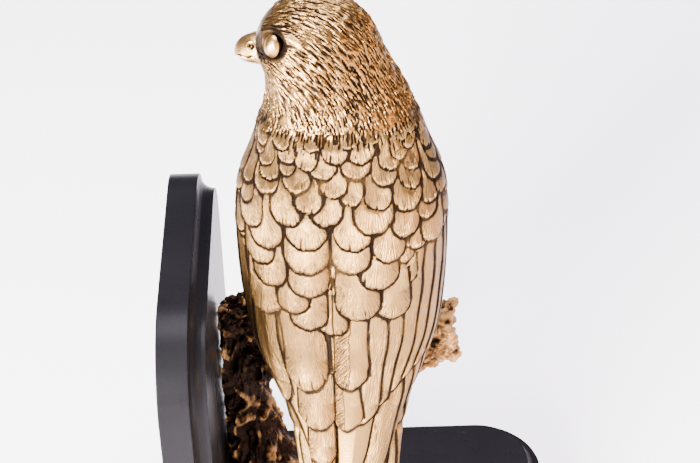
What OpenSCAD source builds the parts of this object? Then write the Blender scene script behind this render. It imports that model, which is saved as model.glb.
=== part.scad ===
// Falcon bookend: a cast bronze falcon on a gnarled branch, bolted to an L-shaped
// stand of two moulded boards. X runs along the stand, away from the books. The bird
// faces +Y. Z is up, and the origin is on the table under the middle of the stand.

/* [Stand] */
// Length of the stand, from the book face to the free end
stand_length = 126; // [118:1:160]
// Depth of both boards, front to back
board_depth = 110; // [96:1:140]
// Height of the upright board's top above the table
upright_height = 146; // [120:1:180]
// Thickness of the upright board
upright_thickness = 14.5; // [12:0.5:20]
// Thickness of the base board
base_thickness = 16; // [12:0.5:20]
// Corner radius of the upright board
upright_corner = 26; // [14:1:32]
// Corner radius of the base board
base_corner = 23; // [14:1:32]
// Width of the moulded edge, measured in from the outline
moulding_width = 5; // [3:0.5:8]
// Depth of the moulded edge, measured down from the board's face
moulding_depth = 5; // [3:0.5:7]
// Thickness of the felt under the stand
felt_thickness = 1.5; // [1:0.5:3]
// Set-back of the felt from the boards' edges
felt_inset = 3; // [2:0.5:6]

/* [Board fixings] */
// Diameter of the dowels between the boards
dowel_d = 6; // [4:0.5:7]
// Length of the dowels
dowel_length = 26; // [20:1:34]
// Distance between the two dowels
dowel_spacing = 66; // [60:1:76]
// Shank diameter of the screws between the boards
screw_d = 4; // [3:0.5:5]
// Length of the screws between the boards
screw_length = 32; // [24:1:40]
// Distance between the two screws
screw_spacing = 40; // [38:1:48]
// Head diameter of the screws between the boards
screw_head_d = 7.5; // [6:0.5:9]
// Thickness of the plugs that hide the screw heads
plug_thickness = 3; // [2:0.5:4]

/* [Stump] */
// Height of the branch's axis above the table
perch_height = 99; // [84:1:120]
// Distance of the branch's axis from the stand's middle plane, away from the bird's tail
perch_offset = 5; // [0:1:12]
// Radius of the branch where the bird stands
branch_radius = 9; // [7:0.5:11]
// Radius of the stump near its foot
stump_radius = 13; // [11:0.5:15]
// Gap between the stump's foot and the upright board
stump_gap = 0.3; // [0.3:0.1:2]
// Distance of the branch's broken end from the stand's middle, along the stand
branch_reach = 29; // [26:1:45]
// Diameter of the screws that hold the stump down
stump_screw_d = 4; // [3:0.5:5]
// Distance between the stump's two screws
stump_screw_spacing = 13; // [11:0.5:15]
// Depth of thread in the stump's foot
stump_thread = 12; // [8:1:18]

/* [Falcon] */
// Width over the folded wings
bird_width = 64; // [54:1:76]
// Height from the top of the branch to the crown
bird_height = 114; // [95:1:138]
// Middle plane of the bird, along the stand
bird_place = -7; // [-12:1:0]
// Wall of the hollow castings
cast_wall = 3; // [2.5:0.25:3.5]
// Thickness of the folded wings
wing_thickness = 3; // [2.4:0.2:4]
// Diameter of the eyes
eye_d = 6; // [5:0.5:7]
// Distance between the two legs
leg_spacing = 20; // [16:1:24]
// Diameter of the studs that hold the bird on the branch
stud_d = 4; // [3:0.5:5]
// Diameter of the toes
toe_d = 3.8; // [3:0.2:4.4]

/* [Fits] */
// Clearance round screws, studs and pins, on the diameter
hole_clearance = 0.2; // [0.1:0.05:0.4]
// Gap left between two castings that lie on each other
seat_gap = 0.2; // [0.15:0.05:0.4]

/* [Hidden] */
$fn = 48;

black = "#2f2e34";
bronze = "#b79a6f";
dark_bronze = "#4a3826";
steel = "#9a9a98";

book_face = -stand_length / 2;
board_face = book_face + upright_thickness;
base_top = felt_thickness + base_thickness;
base_middle = felt_thickness + base_thickness / 2;

// ---------------------------------------------------------------- shared geometry

// Row of a table that holds the interval where t lies
function row_at(rows, t, i = 0) =
    i >= len(rows) - 2 || t < rows[i + 1][0] ? i : row_at(rows, t, i + 1);
// Slope of a table at row i
function slope(rows, i) =
    let (a = max(i - 1, 0), b = min(i + 1, len(rows) - 1))
    (rows[b] - rows[a]) / (rows[b][0] - rows[a][0]);
// Smooth curve through the rows of a table, read at t
function read(rows, t) =
    let (i = row_at(rows, t), w = rows[i + 1][0] - rows[i][0], s = (t - rows[i][0]) / w)
    (2 * s * s * s - 3 * s * s + 1) * rows[i] + (s * s * s - 2 * s * s + s) * w * slope(rows, i)
    + (3 * s * s - 2 * s * s * s) * rows[i + 1] + (s * s * s - s * s) * w * slope(rows, i + 1);
// Even steps from a to b
function steps(a, b, n) = [for (i = [0 : n]) a + (b - a) * i / n];
// Angles of n even places round a ring
function turn(n) = [for (j = [0 : n - 1]) 360 * j / n];

// Faces between rings of n points each, closed by a fan at both ends
function loft_faces(rings, n) = concat(
    [for (i = [0 : rings - 2], j = [0 : n - 1], k = [0, 1])
        let (a = i * n + j, b = i * n + (j + 1) % n)
        k == 0 ? [a, b, b + n] : [a, b + n, a + n]],
    [for (j = [1 : n - 2]) [0, j + 1, j]],
    [for (j = [1 : n - 2]) let (o = (rings - 1) * n) [o, o + j, o + j + 1]]);
// Solid through a list of rings, each with the same number of points, run upward
module loft(rings) {
    n = len(rings[0]);
    polyhedron(points = [for (r = rings, p = r) p],
        faces = [for (f = loft_faces(len(rings), n)) [f[0], f[2], f[1]]], convexity = 6);
}

// ---------------------------------------------------------------- boards

// Plate with rounded corners
module rounded_plate(w, h, r, t) {
    linear_extrude(t) union() {
        translate([0, r]) square([w, h - 2 * r]);
        translate([r, 0]) square([w - 2 * r, h]);
        for (x = [r, w - r], y = [r, h - r]) translate([x, y]) circle(r);
    }
}
// Section of the hollow moulded edge, from the corner's centre out to the outline
module moulding_section(r, t) {
    polygon(concat([[0, 0], [r, 0]],
        [for (a = [0 : 15 : 90]) [r - moulding_width * sin(a), t - moulding_depth * cos(a)]],
        [[0, t]]));
}
// Board lying on its flat side, with a moulded edge round its upper face
module moulded_board(w, h, t, r) {
    translate([r, r, 0]) cube([w - 2 * r, h - 2 * r, t]);
    for (c = [[w - r, h - r, 0], [r, h - r, 90], [r, r, 180], [w - r, r, 270]])
        translate([c[0], c[1], 0]) rotate([0, 0, c[2]])
            rotate_extrude(angle = 90) moulding_section(r, t);
    for (c = [[w - r, r, 0, h], [w - r, h - r, 90, w], [r, h - r, 180, h], [r, r, 270, w]])
        translate([c[0], c[1], 0]) rotate([0, 0, c[2]]) translate([0, c[3] - 2 * r, 0])
            rotate([90, 0, 0]) linear_extrude(c[3] - 2 * r) moulding_section(r, t);
}
// Runs children at both places of a pair, spread along Y
module pair_y(spacing) {
    for (side = [-1, 1]) translate([0, side * spacing / 2, 0]) children();
}
// Cylinder along X from x0
module rod_x(x0, length, d) {
    translate([x0, 0, 0]) rotate([0, 90, 0]) cylinder(d = d, h = length);
}

dowel_start = board_face - dowel_length / 2 + 4;
screw_seat = book_face + plug_thickness;
screw_head_t = screw_head_d / 3;

// Room for the dowels, screws and plugs between the two boards
module board_fixing_holes() {
    translate([0, 0, base_middle]) {
        pair_y(dowel_spacing)
            rod_x(dowel_start - hole_clearance, dowel_length + 2 * hole_clearance,
                dowel_d + hole_clearance);
        pair_y(screw_spacing) {
            rod_x(book_face - 1, plug_thickness + screw_head_t + 1,
                screw_head_d + hole_clearance);
            rod_x(book_face, screw_length + plug_thickness + hole_clearance,
                screw_d + hole_clearance);
        }
    }
}
module upright_board() {
    color(black) difference() {
        translate([book_face, -board_depth / 2, felt_thickness])
            multmatrix([[0, 0, 1, 0], [1, 0, 0, 0], [0, 1, 0, 0]])
            moulded_board(board_depth, upright_height - felt_thickness, upright_thickness,
                upright_corner);
        board_fixing_holes();
    }
}
module base_board() {
    length = stand_length - upright_thickness;
    color(black) difference() {
        intersection() {
            translate([board_face - 2 * base_corner, -board_depth / 2, felt_thickness])
                moulded_board(length + 2 * base_corner, board_depth, base_thickness, base_corner);
            translate([board_face, -board_depth, 0])
                cube([length + 1, 2 * board_depth, base_top + 1]);
        }
        board_fixing_holes();
        stump_screw_holes();
    }
}
module board_dowels() {
    color("#c8a878") translate([0, 0, base_middle]) pair_y(dowel_spacing)
        rod_x(dowel_start, dowel_length, dowel_d);
}
module board_screws() {
    color(steel) translate([0, 0, base_middle]) pair_y(screw_spacing) {
        difference() {
            rod_x(screw_seat, screw_head_t, screw_head_d);
            rod_x(screw_seat - 1, 2.2, screw_d * 0.7, $fn = 6);
        }
        rod_x(screw_seat + screw_head_t, screw_length - screw_head_t, screw_d);
    }
}
module screw_plugs() {
    color(black) translate([0, 0, base_middle]) pair_y(screw_spacing)
        rod_x(book_face, plug_thickness, screw_head_d);
}
module felt_pads() {
    strip = upright_thickness - moulding_depth - felt_inset;
    pad_length = stand_length - upright_thickness - felt_inset;
    pad_r = base_corner - felt_inset;
    color("#20201f") {
        translate([book_face + felt_inset, -board_depth / 2 + upright_corner, 0])
            cube([strip, board_depth - 2 * upright_corner, felt_thickness]);
        intersection() {
            translate([board_face - 2 * pad_r, -board_depth / 2 + felt_inset, 0])
                rounded_plate(pad_length + 2 * pad_r, board_depth - 2 * felt_inset, pad_r,
                    felt_thickness);
            translate([board_face + felt_inset, -board_depth, -1])
                cube([stand_length, 2 * board_depth, felt_thickness + 2]);
        }
    }
}

// ---------------------------------------------------------------- stump and branch

perch_top = perch_height + branch_radius;
stump_foot_x = board_face + stump_gap + stump_radius * 1.25;
stump_y = perch_offset + 3;
stump_top = perch_top + branch_radius / 2;
branch_start = stump_foot_x - stump_radius * 0.6;
stump_washer_d = 2.2 * stump_screw_d;
stump_recess = felt_thickness + 5;
washer_t = 1;

// Stump from its foot to its broken top: share of the height, place along X and half
// widths along X and Y as shares of the foot's radius
stump_rows = [[0, 0, 1.12, 1.3], [0.12, -0.1, 1.0, 1.1], [0.35, -0.42, 0.82, 0.92],
    [0.6, -0.68, 0.56, 0.82], [0.8, -0.7, 0.58, 0.85], [1, -0.72, 0.5, 0.7]];
// Branch from inside the stump to its broken end: share of the length, upward shift and
// radius as shares of the branch's radius, and how rough its bark is
branch_rows = [[0, -0.5, 0.9, 0.6], [0.2, -0.2, 0.98, 0.3], [0.3, 0, 1, 0.05],
    [0.75, 0, 1, 0.05], [0.88, 0.2, 1, 0.5], [1, 0.65, 0.95, 1]];
// Bark's ridges at angle a and share t of the stem
function bark(a, t) = 0.10 * sin(3 * a + 240 * t) + 0.06 * sin(7 * a - 500 * t)
    + 0.04 * sin(11 * a + 900 * t);

module stump_form() {
    loft([for (t = steps(0, 1, 18)) let (r = read(stump_rows, t))
        [for (a = turn(24)) let (q = stump_radius * (1 + bark(a, t)))
            [max(stump_foot_x + r[1] * stump_radius + q * r[2] * cos(a),
                board_face + stump_gap),
            stump_y + q * r[3] * sin(a),
            base_top + (stump_top - base_top) * t + (t > 0.9 ? 3 * sin(2 * a) : 0)]]]);
}
module branch_form() {
    loft([for (t = steps(0, 1, 16)) let (r = read(branch_rows, t))
        [for (a = turn(20)) let (q = branch_radius * r[2] * (1 + r[3] * bark(a, t)))
            [branch_start + (branch_reach - branch_start) * t + (t > 0.95 ? 2 * sin(2 * a) : 0),
            perch_offset + q * cos(a),
            perch_height + branch_radius * r[1] + q * sin(a)]]]);
}
// Runs children at both screws that hold the stump down
module at_stump_screws() {
    translate([stump_foot_x - 1, stump_y, 0]) pair_y(stump_screw_spacing) children();
}
// Runs children at both legs
module at_legs() {
    for (side = [-1, 1]) translate([bird_place + side * leg_spacing / 2, perch_offset, 0])
        children();
}
module stump_screw_holes() {
    at_stump_screws() {
        cylinder(d = stump_screw_d + hole_clearance, h = base_top + 1);
        translate([0, 0, -1]) cylinder(d = stump_washer_d + 1, h = stump_recess + 1);
    }
}
module stump() {
    color(dark_bronze) difference() {
        union() {
            stump_form();
            branch_form();
        }
        at_stump_screws() translate([0, 0, base_top - 1])
            cylinder(d = stump_screw_d + hole_clearance, h = stump_thread + 2);
        stud_holes();
    }
}
module stump_screws() {
    seat = stump_recess - washer_t;
    head = stump_screw_d * 0.6;
    color(steel) at_stump_screws() {
        translate([0, 0, seat]) cylinder(d = stump_screw_d, h = base_top + stump_thread - seat);
        translate([0, 0, seat - head]) difference() {
            cylinder(d = stump_screw_d * 1.75, h = head);
            translate([0, 0, -1]) cylinder(d = stump_screw_d * 0.7, h = head, $fn = 6);
        }
    }
}
module stump_washers() {
    color(steel) at_stump_screws() translate([0, 0, stump_recess - washer_t]) difference() {
        cylinder(d = stump_washer_d, h = washer_t);
        translate([0, 0, -1]) cylinder(d = stump_screw_d + hole_clearance, h = washer_t + 2);
    }
}

// ---------------------------------------------------------------- falcon

wide = bird_width / 64;
tall = bird_height / 114;

// The bird's form without its wings, from the tail's tip to the neck. Each row holds:
// height over the branch, place along Y, half width, and depth to front and back
form_rows = [[-65, -50, 12, 1.6, 1.6], [-49, -42.5, 14.5, 2.2, 2.2], [-31, -35, 15.5, 3.4, 3],
    [-17, -28.5, 17.5, 5.6, 5.2], [-6, -23, 20.5, 6.5, 8.5], [2, -17, 23.5, 7, 13],
    [9, -12, 26, 11, 16.5], [15, -10, 27.2, 19.5, 18], [21, -8, 28, 25, 19],
    [35, -4.5, 29, 28.5, 21], [49, -1.5, 29.2, 27.5, 21], [61, 3, 28, 24, 20],
    [71, 6.5, 25.8, 20, 19], [80, 9, 23, 17.5, 17.5]];
tail_tip = -65;
tail_root = -17;
neck_seam = 80;
cavity_floor = 18;
// Head over the neck: height, place along X and Y, depth to the face and to the nape,
// and half width
head_rows = [[80, 0, 9, 23, 23, 17.5], [86, -1.5, 10.5, 20.3, 21.6, 16.8],
    [92, -3.6, 11.5, 18.8, 20.2, 16.4], [98, -5, 12.2, 19.3, 18.8, 15.6],
    [104, -5.4, 12.6, 18, 16.8, 14], [109, -5.6, 13, 14.5, 13.2, 11.2],
    [112.5, -5.7, 13.3, 9, 8, 7], [114, -5.7, 13.5, 2, 2, 2]];
cavity_top = 109;
// Direction that the head faces, and the eyes' turn away from it
face_angle = 168;
eye_angle = 53;
eye_h = 104.5;
beak_h = 96;

// Height above the table of a place h above the branch
function over_branch(h) = perch_top + tall * h;
// Ring of the form at height h, moved out by g
function form_ring(h, g, angles) = let (r = read(form_rows, h))
    [for (a = angles) [bird_place + (wide * r[2] + g) * cos(a),
        perch_offset + wide * r[1] + (wide * (sin(a) > 0 ? r[3] : r[4]) + g) * sin(a),
        over_branch(h)]];
// One point of the form, moved out by g
function form_point(h, a, g) = form_ring(h, g, [a])[0];
// Ring of the head at height h, moved out by g
function head_ring(h, g, angles) = let (r = read(head_rows, h))
    [for (a = angles) [bird_place + wide * r[1] + (wide * (cos(a) < 0 ? r[3] : r[4]) + g) * cos(a),
        perch_offset + wide * r[2] + (wide * r[5] + g) * sin(a),
        over_branch(h)]];
// One point of the head, moved out by g
function head_point(h, a, g) = head_ring(h, g, [a])[0];

module torso() {
    color(bronze) difference() {
        loft(concat([for (h = steps(tail_root, neck_seam, 20)) form_ring(h, 0, turn(32))],
            [for (h = steps(neck_seam, cavity_floor, 12)) form_ring(h, -cast_wall, turn(32))]));
        at_wing_pins() rod_x(-cast_wall - 1, cast_wall + 3, wing_pin_d + hole_clearance);
        at_tail_pins(hole_clearance);
        at_neck_pins(hole_clearance);
        stud_holes();
    }
}
module head() {
    outer = concat(steps(neck_seam, cavity_top, 8), [111.5, 113.2, 114]);
    color(bronze) difference() {
        loft(concat([for (h = steps(cavity_top - cast_wall, neck_seam, 8))
                head_ring(h, -cast_wall, turn(32))],
            [for (h = outer) head_ring(h, 0, turn(32))]));
        at_neck_pins(hole_clearance);
        eye_ball(eye_angle, seat_gap);
        eye_ball(-eye_angle, seat_gap);
    }
}
// Eye on one side of the head, with room of g round it
module eye_ball(side, g) {
    translate(head_point(eye_h, face_angle + side, 0.3)) sphere(d = eye_d + 2 * g);
}
module eye_left() {
    color("#8a7348") eye_ball(eye_angle, 0);
}
module eye_right() {
    color("#8a7348") eye_ball(-eye_angle, 0);
}

// Beak: share of its length, half width, height above and below its middle, and droop
beak_rows = [[0, 4.6, 4.2, 4.6, 0], [0.35, 3.9, 3.8, 3.8, 0.2], [0.7, 2.6, 2.9, 2.6, 1.2],
    [0.9, 1.5, 1.8, 1.4, 2.4], [1, 0.5, 0.6, 0.8, 3.4]];
beak_length = 7.6;
module beak() {
    out = [cos(face_angle), sin(face_angle), 0];
    side = [-sin(face_angle), cos(face_angle), 0];
    root = head_point(beak_h, face_angle, 0);
    // A patch on the head's skin, s times the size of the beak's root
    function patch(s) = [for (a = turn(20))
        head_point(beak_h + 4.2 * s * sin(a) / tall, face_angle - 14 * s * cos(a), seat_gap)];
    color(bronze) loft(concat([patch(0.1), patch(0.55), patch(1)],
        [for (s = steps(0.15, 1, 7)) let (r = read(beak_rows, s))
            [for (a = turn(20)) root + out * wide * beak_length * s
                + side * wide * r[1] * cos(a)
                + [0, 0, wide * ((sin(a) > 0 ? r[2] : r[3]) * sin(a) - r[4])]]]));
}

// Pins between castings
wing_pin_d = 2;
neck_pin_d = 1.2;
neck_pin_length = 4;
tail_pin_d = 3;
tail_pin_length = 12;
wing_pin_depth = 1.6;
// Runs children at each wing pin, with X pointing out of the body
module at_wing_pins(sides = [-1, 1]) {
    for (side = sides, place = [[40, 322], [12, 328]]) {
        a = side > 0 ? place[1] : 540 - place[1];
        translate(form_point(place[0], a, 0)) rotate([0, 0, a]) children();
    }
}
module at_neck_pins(extra) {
    for (a = [45, 135, 225, 315])
        translate(form_point(neck_seam, a, -cast_wall / 2) - [0, 0, (neck_pin_length + extra) / 2])
            cylinder(d = neck_pin_d + extra, h = neck_pin_length + extra);
}
module at_tail_pins(extra) {
    middle = form_point(tail_root, 0, 0)[1];
    for (side = [-1, 1])
        translate([bird_place + side * 8 * wide, middle,
                over_branch(tail_root) - (tail_pin_length + extra) / 2])
            cylinder(d = tail_pin_d + extra, h = tail_pin_length + extra);
}
module neck_pins() {
    color(steel) at_neck_pins(0);
}
module wing_pins() {
    color(steel) at_wing_pins() rod_x(-cast_wall, cast_wall + wing_pin_depth, wing_pin_d);
}
module tail_pins() {
    color(steel) at_tail_pins(0);
}

// Edges of the folded right wing: height, angle of its rear edge and of its front edge
wing_rows = [[-49, 272, 284], [-37, 271.5, 300], [-19, 271, 318], [-7, 271, 330],
    [6, 271, 350], [26, 271, 372], [46, 271, 378], [61, 271.5, 376], [73, 275, 364]];
wing_tip = -49;
wing_shoulder = 73;
// Thickness of the wing at share s across it and height h: thin along its edges
function wing_depth(s, h) = wing_thickness * (0.4 + 0.6 * min(1, 5 * s * (1 - s)))
    * min(1, 0.45 + (wing_shoulder - h) / 14) * min(1, 0.5 + (h - wing_tip) / 20);
module wing_form() {
    shares = steps(0, 1, 12);
    loft([for (h = steps(wing_tip, wing_shoulder, 26)) let (w = read(wing_rows, h))
        concat([for (s = shares) form_point(h, w[1] + (w[2] - w[1]) * s, seat_gap)],
            [for (i = [len(shares) - 1 : -1 : 0]) let (s = shares[i])
                form_point(h, w[1] + (w[2] - w[1]) * s, seat_gap + wing_depth(s, h))])]);
}
module wing_right() {
    color(bronze) difference() {
        wing_form();
        at_wing_pins([1]) rod_x(-1, 1 + wing_pin_depth + hole_clearance, wing_pin_d + hole_clearance);
    }
}
module wing_left() {
    color(bronze) difference() {
        translate([2 * bird_place, 0, 0]) mirror([1, 0, 0]) wing_form();
        at_wing_pins([-1]) rod_x(-1, 1 + wing_pin_depth + hole_clearance, wing_pin_d + hole_clearance);
    }
}
module tail() {
    color(bronze) difference() {
        loft([for (h = steps(tail_tip, tail_root, 10)) form_ring(h, 0, turn(32))]);
        at_tail_pins(hole_clearance);
    }
}

// ---------------------------------------------------------------- legs and feet

foot_top = perch_top + seat_gap + toe_d + 0.8;
foot_radius = branch_radius * 1.01 + seat_gap;
shank_radius = 3.6;
leg_h = 10.3;
stud_depth = 7;
nut_t = 3;
nut_d = 7.5;
stud_top = over_branch(cavity_floor) + nut_t + 1.5;

module stud_holes() {
    at_legs() translate([0, 0, perch_top - stud_depth - hole_clearance])
        cylinder(d = stud_d + hole_clearance, h = stud_top - perch_top + stud_depth + 4);
}
module leg(side) {
    half = wide * read(form_rows, leg_h)[2];
    a0 = acos(side * leg_spacing / 2 / half);
    x = bird_place + side * leg_spacing / 2;
    // A patch on the body's skin, s times the size of the thigh's root
    function patch(s) = [for (a = turn(20))
        form_point(leg_h + 3.6 * s * sin(a), a0 - 11 * s * cos(a),
            seat_gap * (s < 1 ? 1.8 : 2.5) * wide * wide)];
    function level(r, z) = [for (a = turn(20)) [x + r * cos(a), perch_offset + r * sin(a), z]];
    color(bronze) difference() {
        loft([level(shank_radius, foot_top), level(shank_radius * 1.1, foot_top + 0.8),
            patch(1), patch(0.55), patch(0.1)]);
        stud_holes();
    }
}
module leg_left() { leg(-1); }
module leg_right() { leg(1); }

// Toe that bends round the branch, swept by angle, with its claw
module toe(sweep) {
    bend = foot_radius + toe_d / 2;
    rotate([0, 90, 0]) rotate([0, 0, 180 - sweep])
        rotate_extrude(angle = sweep) translate([bend, 0]) circle(d = toe_d, $fn = 24);
    rotate([-sweep, 0, 0]) translate([0, 0, bend]) {
        sphere(d = toe_d, $fn = 24);
        rotate([-96, 0, 0]) cylinder(d1 = toe_d * 0.8, d2 = 0.8, h = 5.5, $fn = 24);
    }
}
module foot(side) {
    color(bronze) difference() {
        translate([bird_place + side * leg_spacing / 2, perch_offset, perch_height]) {
            for (splay = [-1, 0, 1]) translate([splay * toe_d * 0.8, 0, 0])
                rotate([0, 0, -splay * 8]) toe(100);
            rotate([0, 0, 180]) toe(70);
            difference() {
                cylinder(r = shank_radius + 0.6, h = foot_top - perch_height);
                rod_x(-branch_radius, 2 * branch_radius, 2 * foot_radius);
            }
        }
        stud_holes();
    }
}
module foot_left() { foot(-1); }
module foot_right() { foot(1); }
module leg_studs() {
    color(steel) at_legs() translate([0, 0, perch_top - stud_depth])
        cylinder(d = stud_d, h = stud_top - perch_top + stud_depth);
}
module leg_nuts() {
    color(steel) at_legs() translate([0, 0, over_branch(cavity_floor)]) difference() {
        cylinder(d = nut_d, h = nut_t, $fn = 6);
        translate([0, 0, -1]) cylinder(d = stud_d + hole_clearance, h = nut_t + 2);
    }
}

upright_board();
base_board();
board_dowels();
board_screws();
screw_plugs();
felt_pads();
stump();
stump_screws();
stump_washers();
torso();
head();
beak();
neck_pins();
eye_left();
eye_right();
wing_left();
wing_right();
wing_pins();
tail();
tail_pins();
leg_left();
leg_right();
foot_left();
foot_right();
leg_studs();
leg_nuts();
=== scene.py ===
import math

import bpy
import numpy as np
from mathutils import Matrix, Vector, noise


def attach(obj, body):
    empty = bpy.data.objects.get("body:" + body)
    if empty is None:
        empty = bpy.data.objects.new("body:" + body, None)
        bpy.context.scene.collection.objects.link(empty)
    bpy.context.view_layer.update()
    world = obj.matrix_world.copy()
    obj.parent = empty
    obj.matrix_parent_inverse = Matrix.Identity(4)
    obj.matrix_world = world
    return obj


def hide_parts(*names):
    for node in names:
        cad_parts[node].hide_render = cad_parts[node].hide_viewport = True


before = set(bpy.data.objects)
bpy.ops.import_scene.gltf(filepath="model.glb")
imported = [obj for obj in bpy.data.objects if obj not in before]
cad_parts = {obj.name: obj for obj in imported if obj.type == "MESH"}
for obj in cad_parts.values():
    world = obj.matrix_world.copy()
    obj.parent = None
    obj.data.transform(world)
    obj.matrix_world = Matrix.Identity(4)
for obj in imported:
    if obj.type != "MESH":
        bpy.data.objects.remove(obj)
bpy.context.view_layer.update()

# ---------------------------------------------------------------- camera
# A long lens looks down on the falcon's back from behind and above, turned a little
# clockwise, so that the stand's upright rises at the left and the tail leaves below.
LOOK_FROM = Vector((-0.0077, -0.4625, 0.5078))
LOOK_ALONG = Vector((0.00517, 0.79022, -0.61280)).normalized()
LENS = 97.4
ROLL = math.radians(1.45)

level_right = LOOK_ALONG.cross(Vector((0, 0, 1))).normalized()
level_up = level_right.cross(LOOK_ALONG)
camera_right = level_right * math.cos(ROLL) - level_up * math.sin(ROLL)
camera_up = level_right * math.sin(ROLL) + level_up * math.cos(ROLL)
camera_data = bpy.data.cameras.new("studio_camera")
camera_data.lens = LENS
camera_data.clip_start = 0.01
camera = bpy.data.objects.new("studio_camera", camera_data)
camera.matrix_world = Matrix((camera_right, camera_up, -LOOK_ALONG)).transposed().to_4x4()
camera.location = LOOK_FROM
bpy.context.scene.collection.objects.link(camera)
bpy.context.scene.camera = camera

# ---------------------------------------------------------------- studio
# Pale table top of matt laminate that fills the view. A strong soft box stands low at the left
# front, a larger one hangs overhead, a weak warm one stands low at the right front, and the
# dim white of the room lies all round.
TABLE_SIZE = 5.0
TABLE_DROP = 0.0002
ROOM_LIGHT = 0.25
SOFT_BOXES = [  # name, place, size, power, colour
    ("key_box", (-0.62, -0.90, 0.34), 0.50, 210.0, "#fffaf4"),
    ("top_box", (0.15, 0.25, 1.50), 1.00, 110.0, "#f8f5ff"),
    ("fill_box", (0.90, -0.70, 0.30), 0.45, 22.0, "#ffc98a")]
LIGHT_AIM = Vector((0, 0, 0.12))  # the boxes face the middle of the falcon


def linear(colour):
    """Linear RGBA of an sRGB hex colour."""
    parts = [int(colour[i:i + 2], 16) / 255 for i in (1, 3, 5)]
    return [c / 12.92 if c <= 0.04045 else ((c + 0.055) / 1.055) ** 2.4 for c in parts] + [1]


def add_node(tree, kind, sockets=None, **settings):
    """A new node with its settings, and its sockets linked or set."""
    made = tree.nodes.new(kind)
    for setting, value in settings.items():
        setattr(made, setting, value)
    for socket, value in (sockets or {}).items():
        if isinstance(value, bpy.types.NodeSocket):
            tree.links.new(value, made.inputs[socket])
        else:
            made.inputs[socket].default_value = value
    return made


def new_material(name):
    """An empty material with its output and Principled shader."""
    material = bpy.data.materials.new(name)
    material.use_nodes = True
    tree = material.node_tree
    tree.nodes.clear()
    shader = add_node(tree, "ShaderNodeBsdfPrincipled")
    add_node(tree, "ShaderNodeOutputMaterial", {"Surface": shader.outputs["BSDF"]})
    return material, tree, shader


for box_name, place, size, power, colour in SOFT_BOXES:
    lamp = bpy.data.lights.new(box_name, "AREA")
    lamp.energy, lamp.size, lamp.color = power, size, linear(colour)[:3]
    box = bpy.data.objects.new(box_name, lamp)
    box.location = place
    box.rotation_euler = (LIGHT_AIM - Vector(place)).to_track_quat("-Z", "Y").to_euler()
    bpy.context.scene.collection.objects.link(box)

room = bpy.data.worlds.new("white_room")
room.use_nodes = True
room.node_tree.nodes["Background"].inputs["Color"].default_value = linear("#f7f4fb")
room.node_tree.nodes["Background"].inputs["Strength"].default_value = ROOM_LIGHT
bpy.context.scene.world = room

bpy.ops.object.select_all(action="DESELECT")
bpy.ops.mesh.primitive_plane_add(size=TABLE_SIZE, location=(0, 0, -TABLE_DROP))
table = bpy.context.object
table.name = "table_top"
# Matt pressed laminate: even and pale, with hardly any shine and the faintest mottling
laminate, tree, shader = new_material("matt_white_laminate")
coords = add_node(tree, "ShaderNodeTexCoord").outputs["Object"]
mottle = add_node(tree, "ShaderNodeTexNoise", {"Vector": coords, "Scale": 3.0, "Detail": 2.0})
tone = add_node(tree, "ShaderNodeMix", {0: mottle.outputs["Fac"], 6: linear("#f3f0f6"),
                                        7: linear("#fbf9fd")}, data_type="RGBA")
tree.links.new(tone.outputs[2], shader.inputs["Base Color"])
shader.inputs["Roughness"].default_value = 0.6
table.data.materials.append(laminate)

# ---------------------------------------------------------------- boards
# Upright and base of the stand: MDF with a cove cut along the outer edges, sprayed satin
# black. The lacquer mirrors little of the pale room, and it shows fine wiping marks, small
# dents and arrises a little rounded by sanding.


def dress(node_name, material):
    """Gives a carried-over CAD node its finish."""
    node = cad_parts[node_name]
    node.data.materials.clear()
    node.data.materials.append(material)


ARRIS_RADIUS = 0.0007  # sanding rounds the cut edges by this much
LACQUER_GRAIN = 1 / 0.0009  # orange peel of the spray coat, one bump in 0.9 mm
WIPE_MARKS = 1 / 0.004  # wiping marks 4 mm apart and many times longer
BOARD_DENTS = 1 / 0.011  # small dents 11 mm apart
LACQUER_CLOUDS = 1 / 0.03  # the black deepens and pales over 30 mm
LACQUER_SHINE = 0.03  # far under a real lacquer's 0.5, so the boards stay black by a pale floor

# Satin sprayed lacquer: a deep black whose soft sheen is broken by wiping marks and dents
lacquer, tree, shader = new_material("satin_black_lacquer")
coords = add_node(tree, "ShaderNodeTexCoord").outputs["Object"]
peel = add_node(tree, "ShaderNodeTexNoise", {"Vector": coords, "Scale": LACQUER_GRAIN,
                                             "Detail": 2.0})
stretch = add_node(tree, "ShaderNodeMapping", {"Vector": coords, "Scale": (1.0, 1.0, 0.07)})
wipes = add_node(tree, "ShaderNodeTexNoise", {"Vector": stretch.outputs["Vector"],
                                              "Scale": WIPE_MARKS, "Detail": 4.0,
                                              "Roughness": 0.65})
dents = add_node(tree, "ShaderNodeTexVoronoi", {"Vector": coords, "Scale": BOARD_DENTS,
                                                "Randomness": 1.0})
dent = add_node(tree, "ShaderNodeMapRange", {"Value": dents.outputs["Distance"],
                                             "From Min": 0.03, "From Max": 0.10})
clouds = add_node(tree, "ShaderNodeTexNoise", {"Vector": coords, "Scale": LACQUER_CLOUDS,
                                               "Detail": 3.0})
tone = add_node(tree, "ShaderNodeMix", {0: clouds.outputs["Fac"], 6: linear("#0c0c0e"),
                                        7: linear("#141316")}, data_type="RGBA")
tree.links.new(tone.outputs[2], shader.inputs["Base Color"])
gloss = add_node(tree, "ShaderNodeMapRange", {"Value": wipes.outputs["Fac"], "To Min": 0.22,
                                              "To Max": 0.36})
tree.links.new(gloss.outputs["Result"], shader.inputs["Roughness"])
shader.inputs["Specular IOR Level"].default_value = LACQUER_SHINE
soft_edge = add_node(tree, "ShaderNodeBevel", {"Radius": ARRIS_RADIUS}, samples=6)
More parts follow.
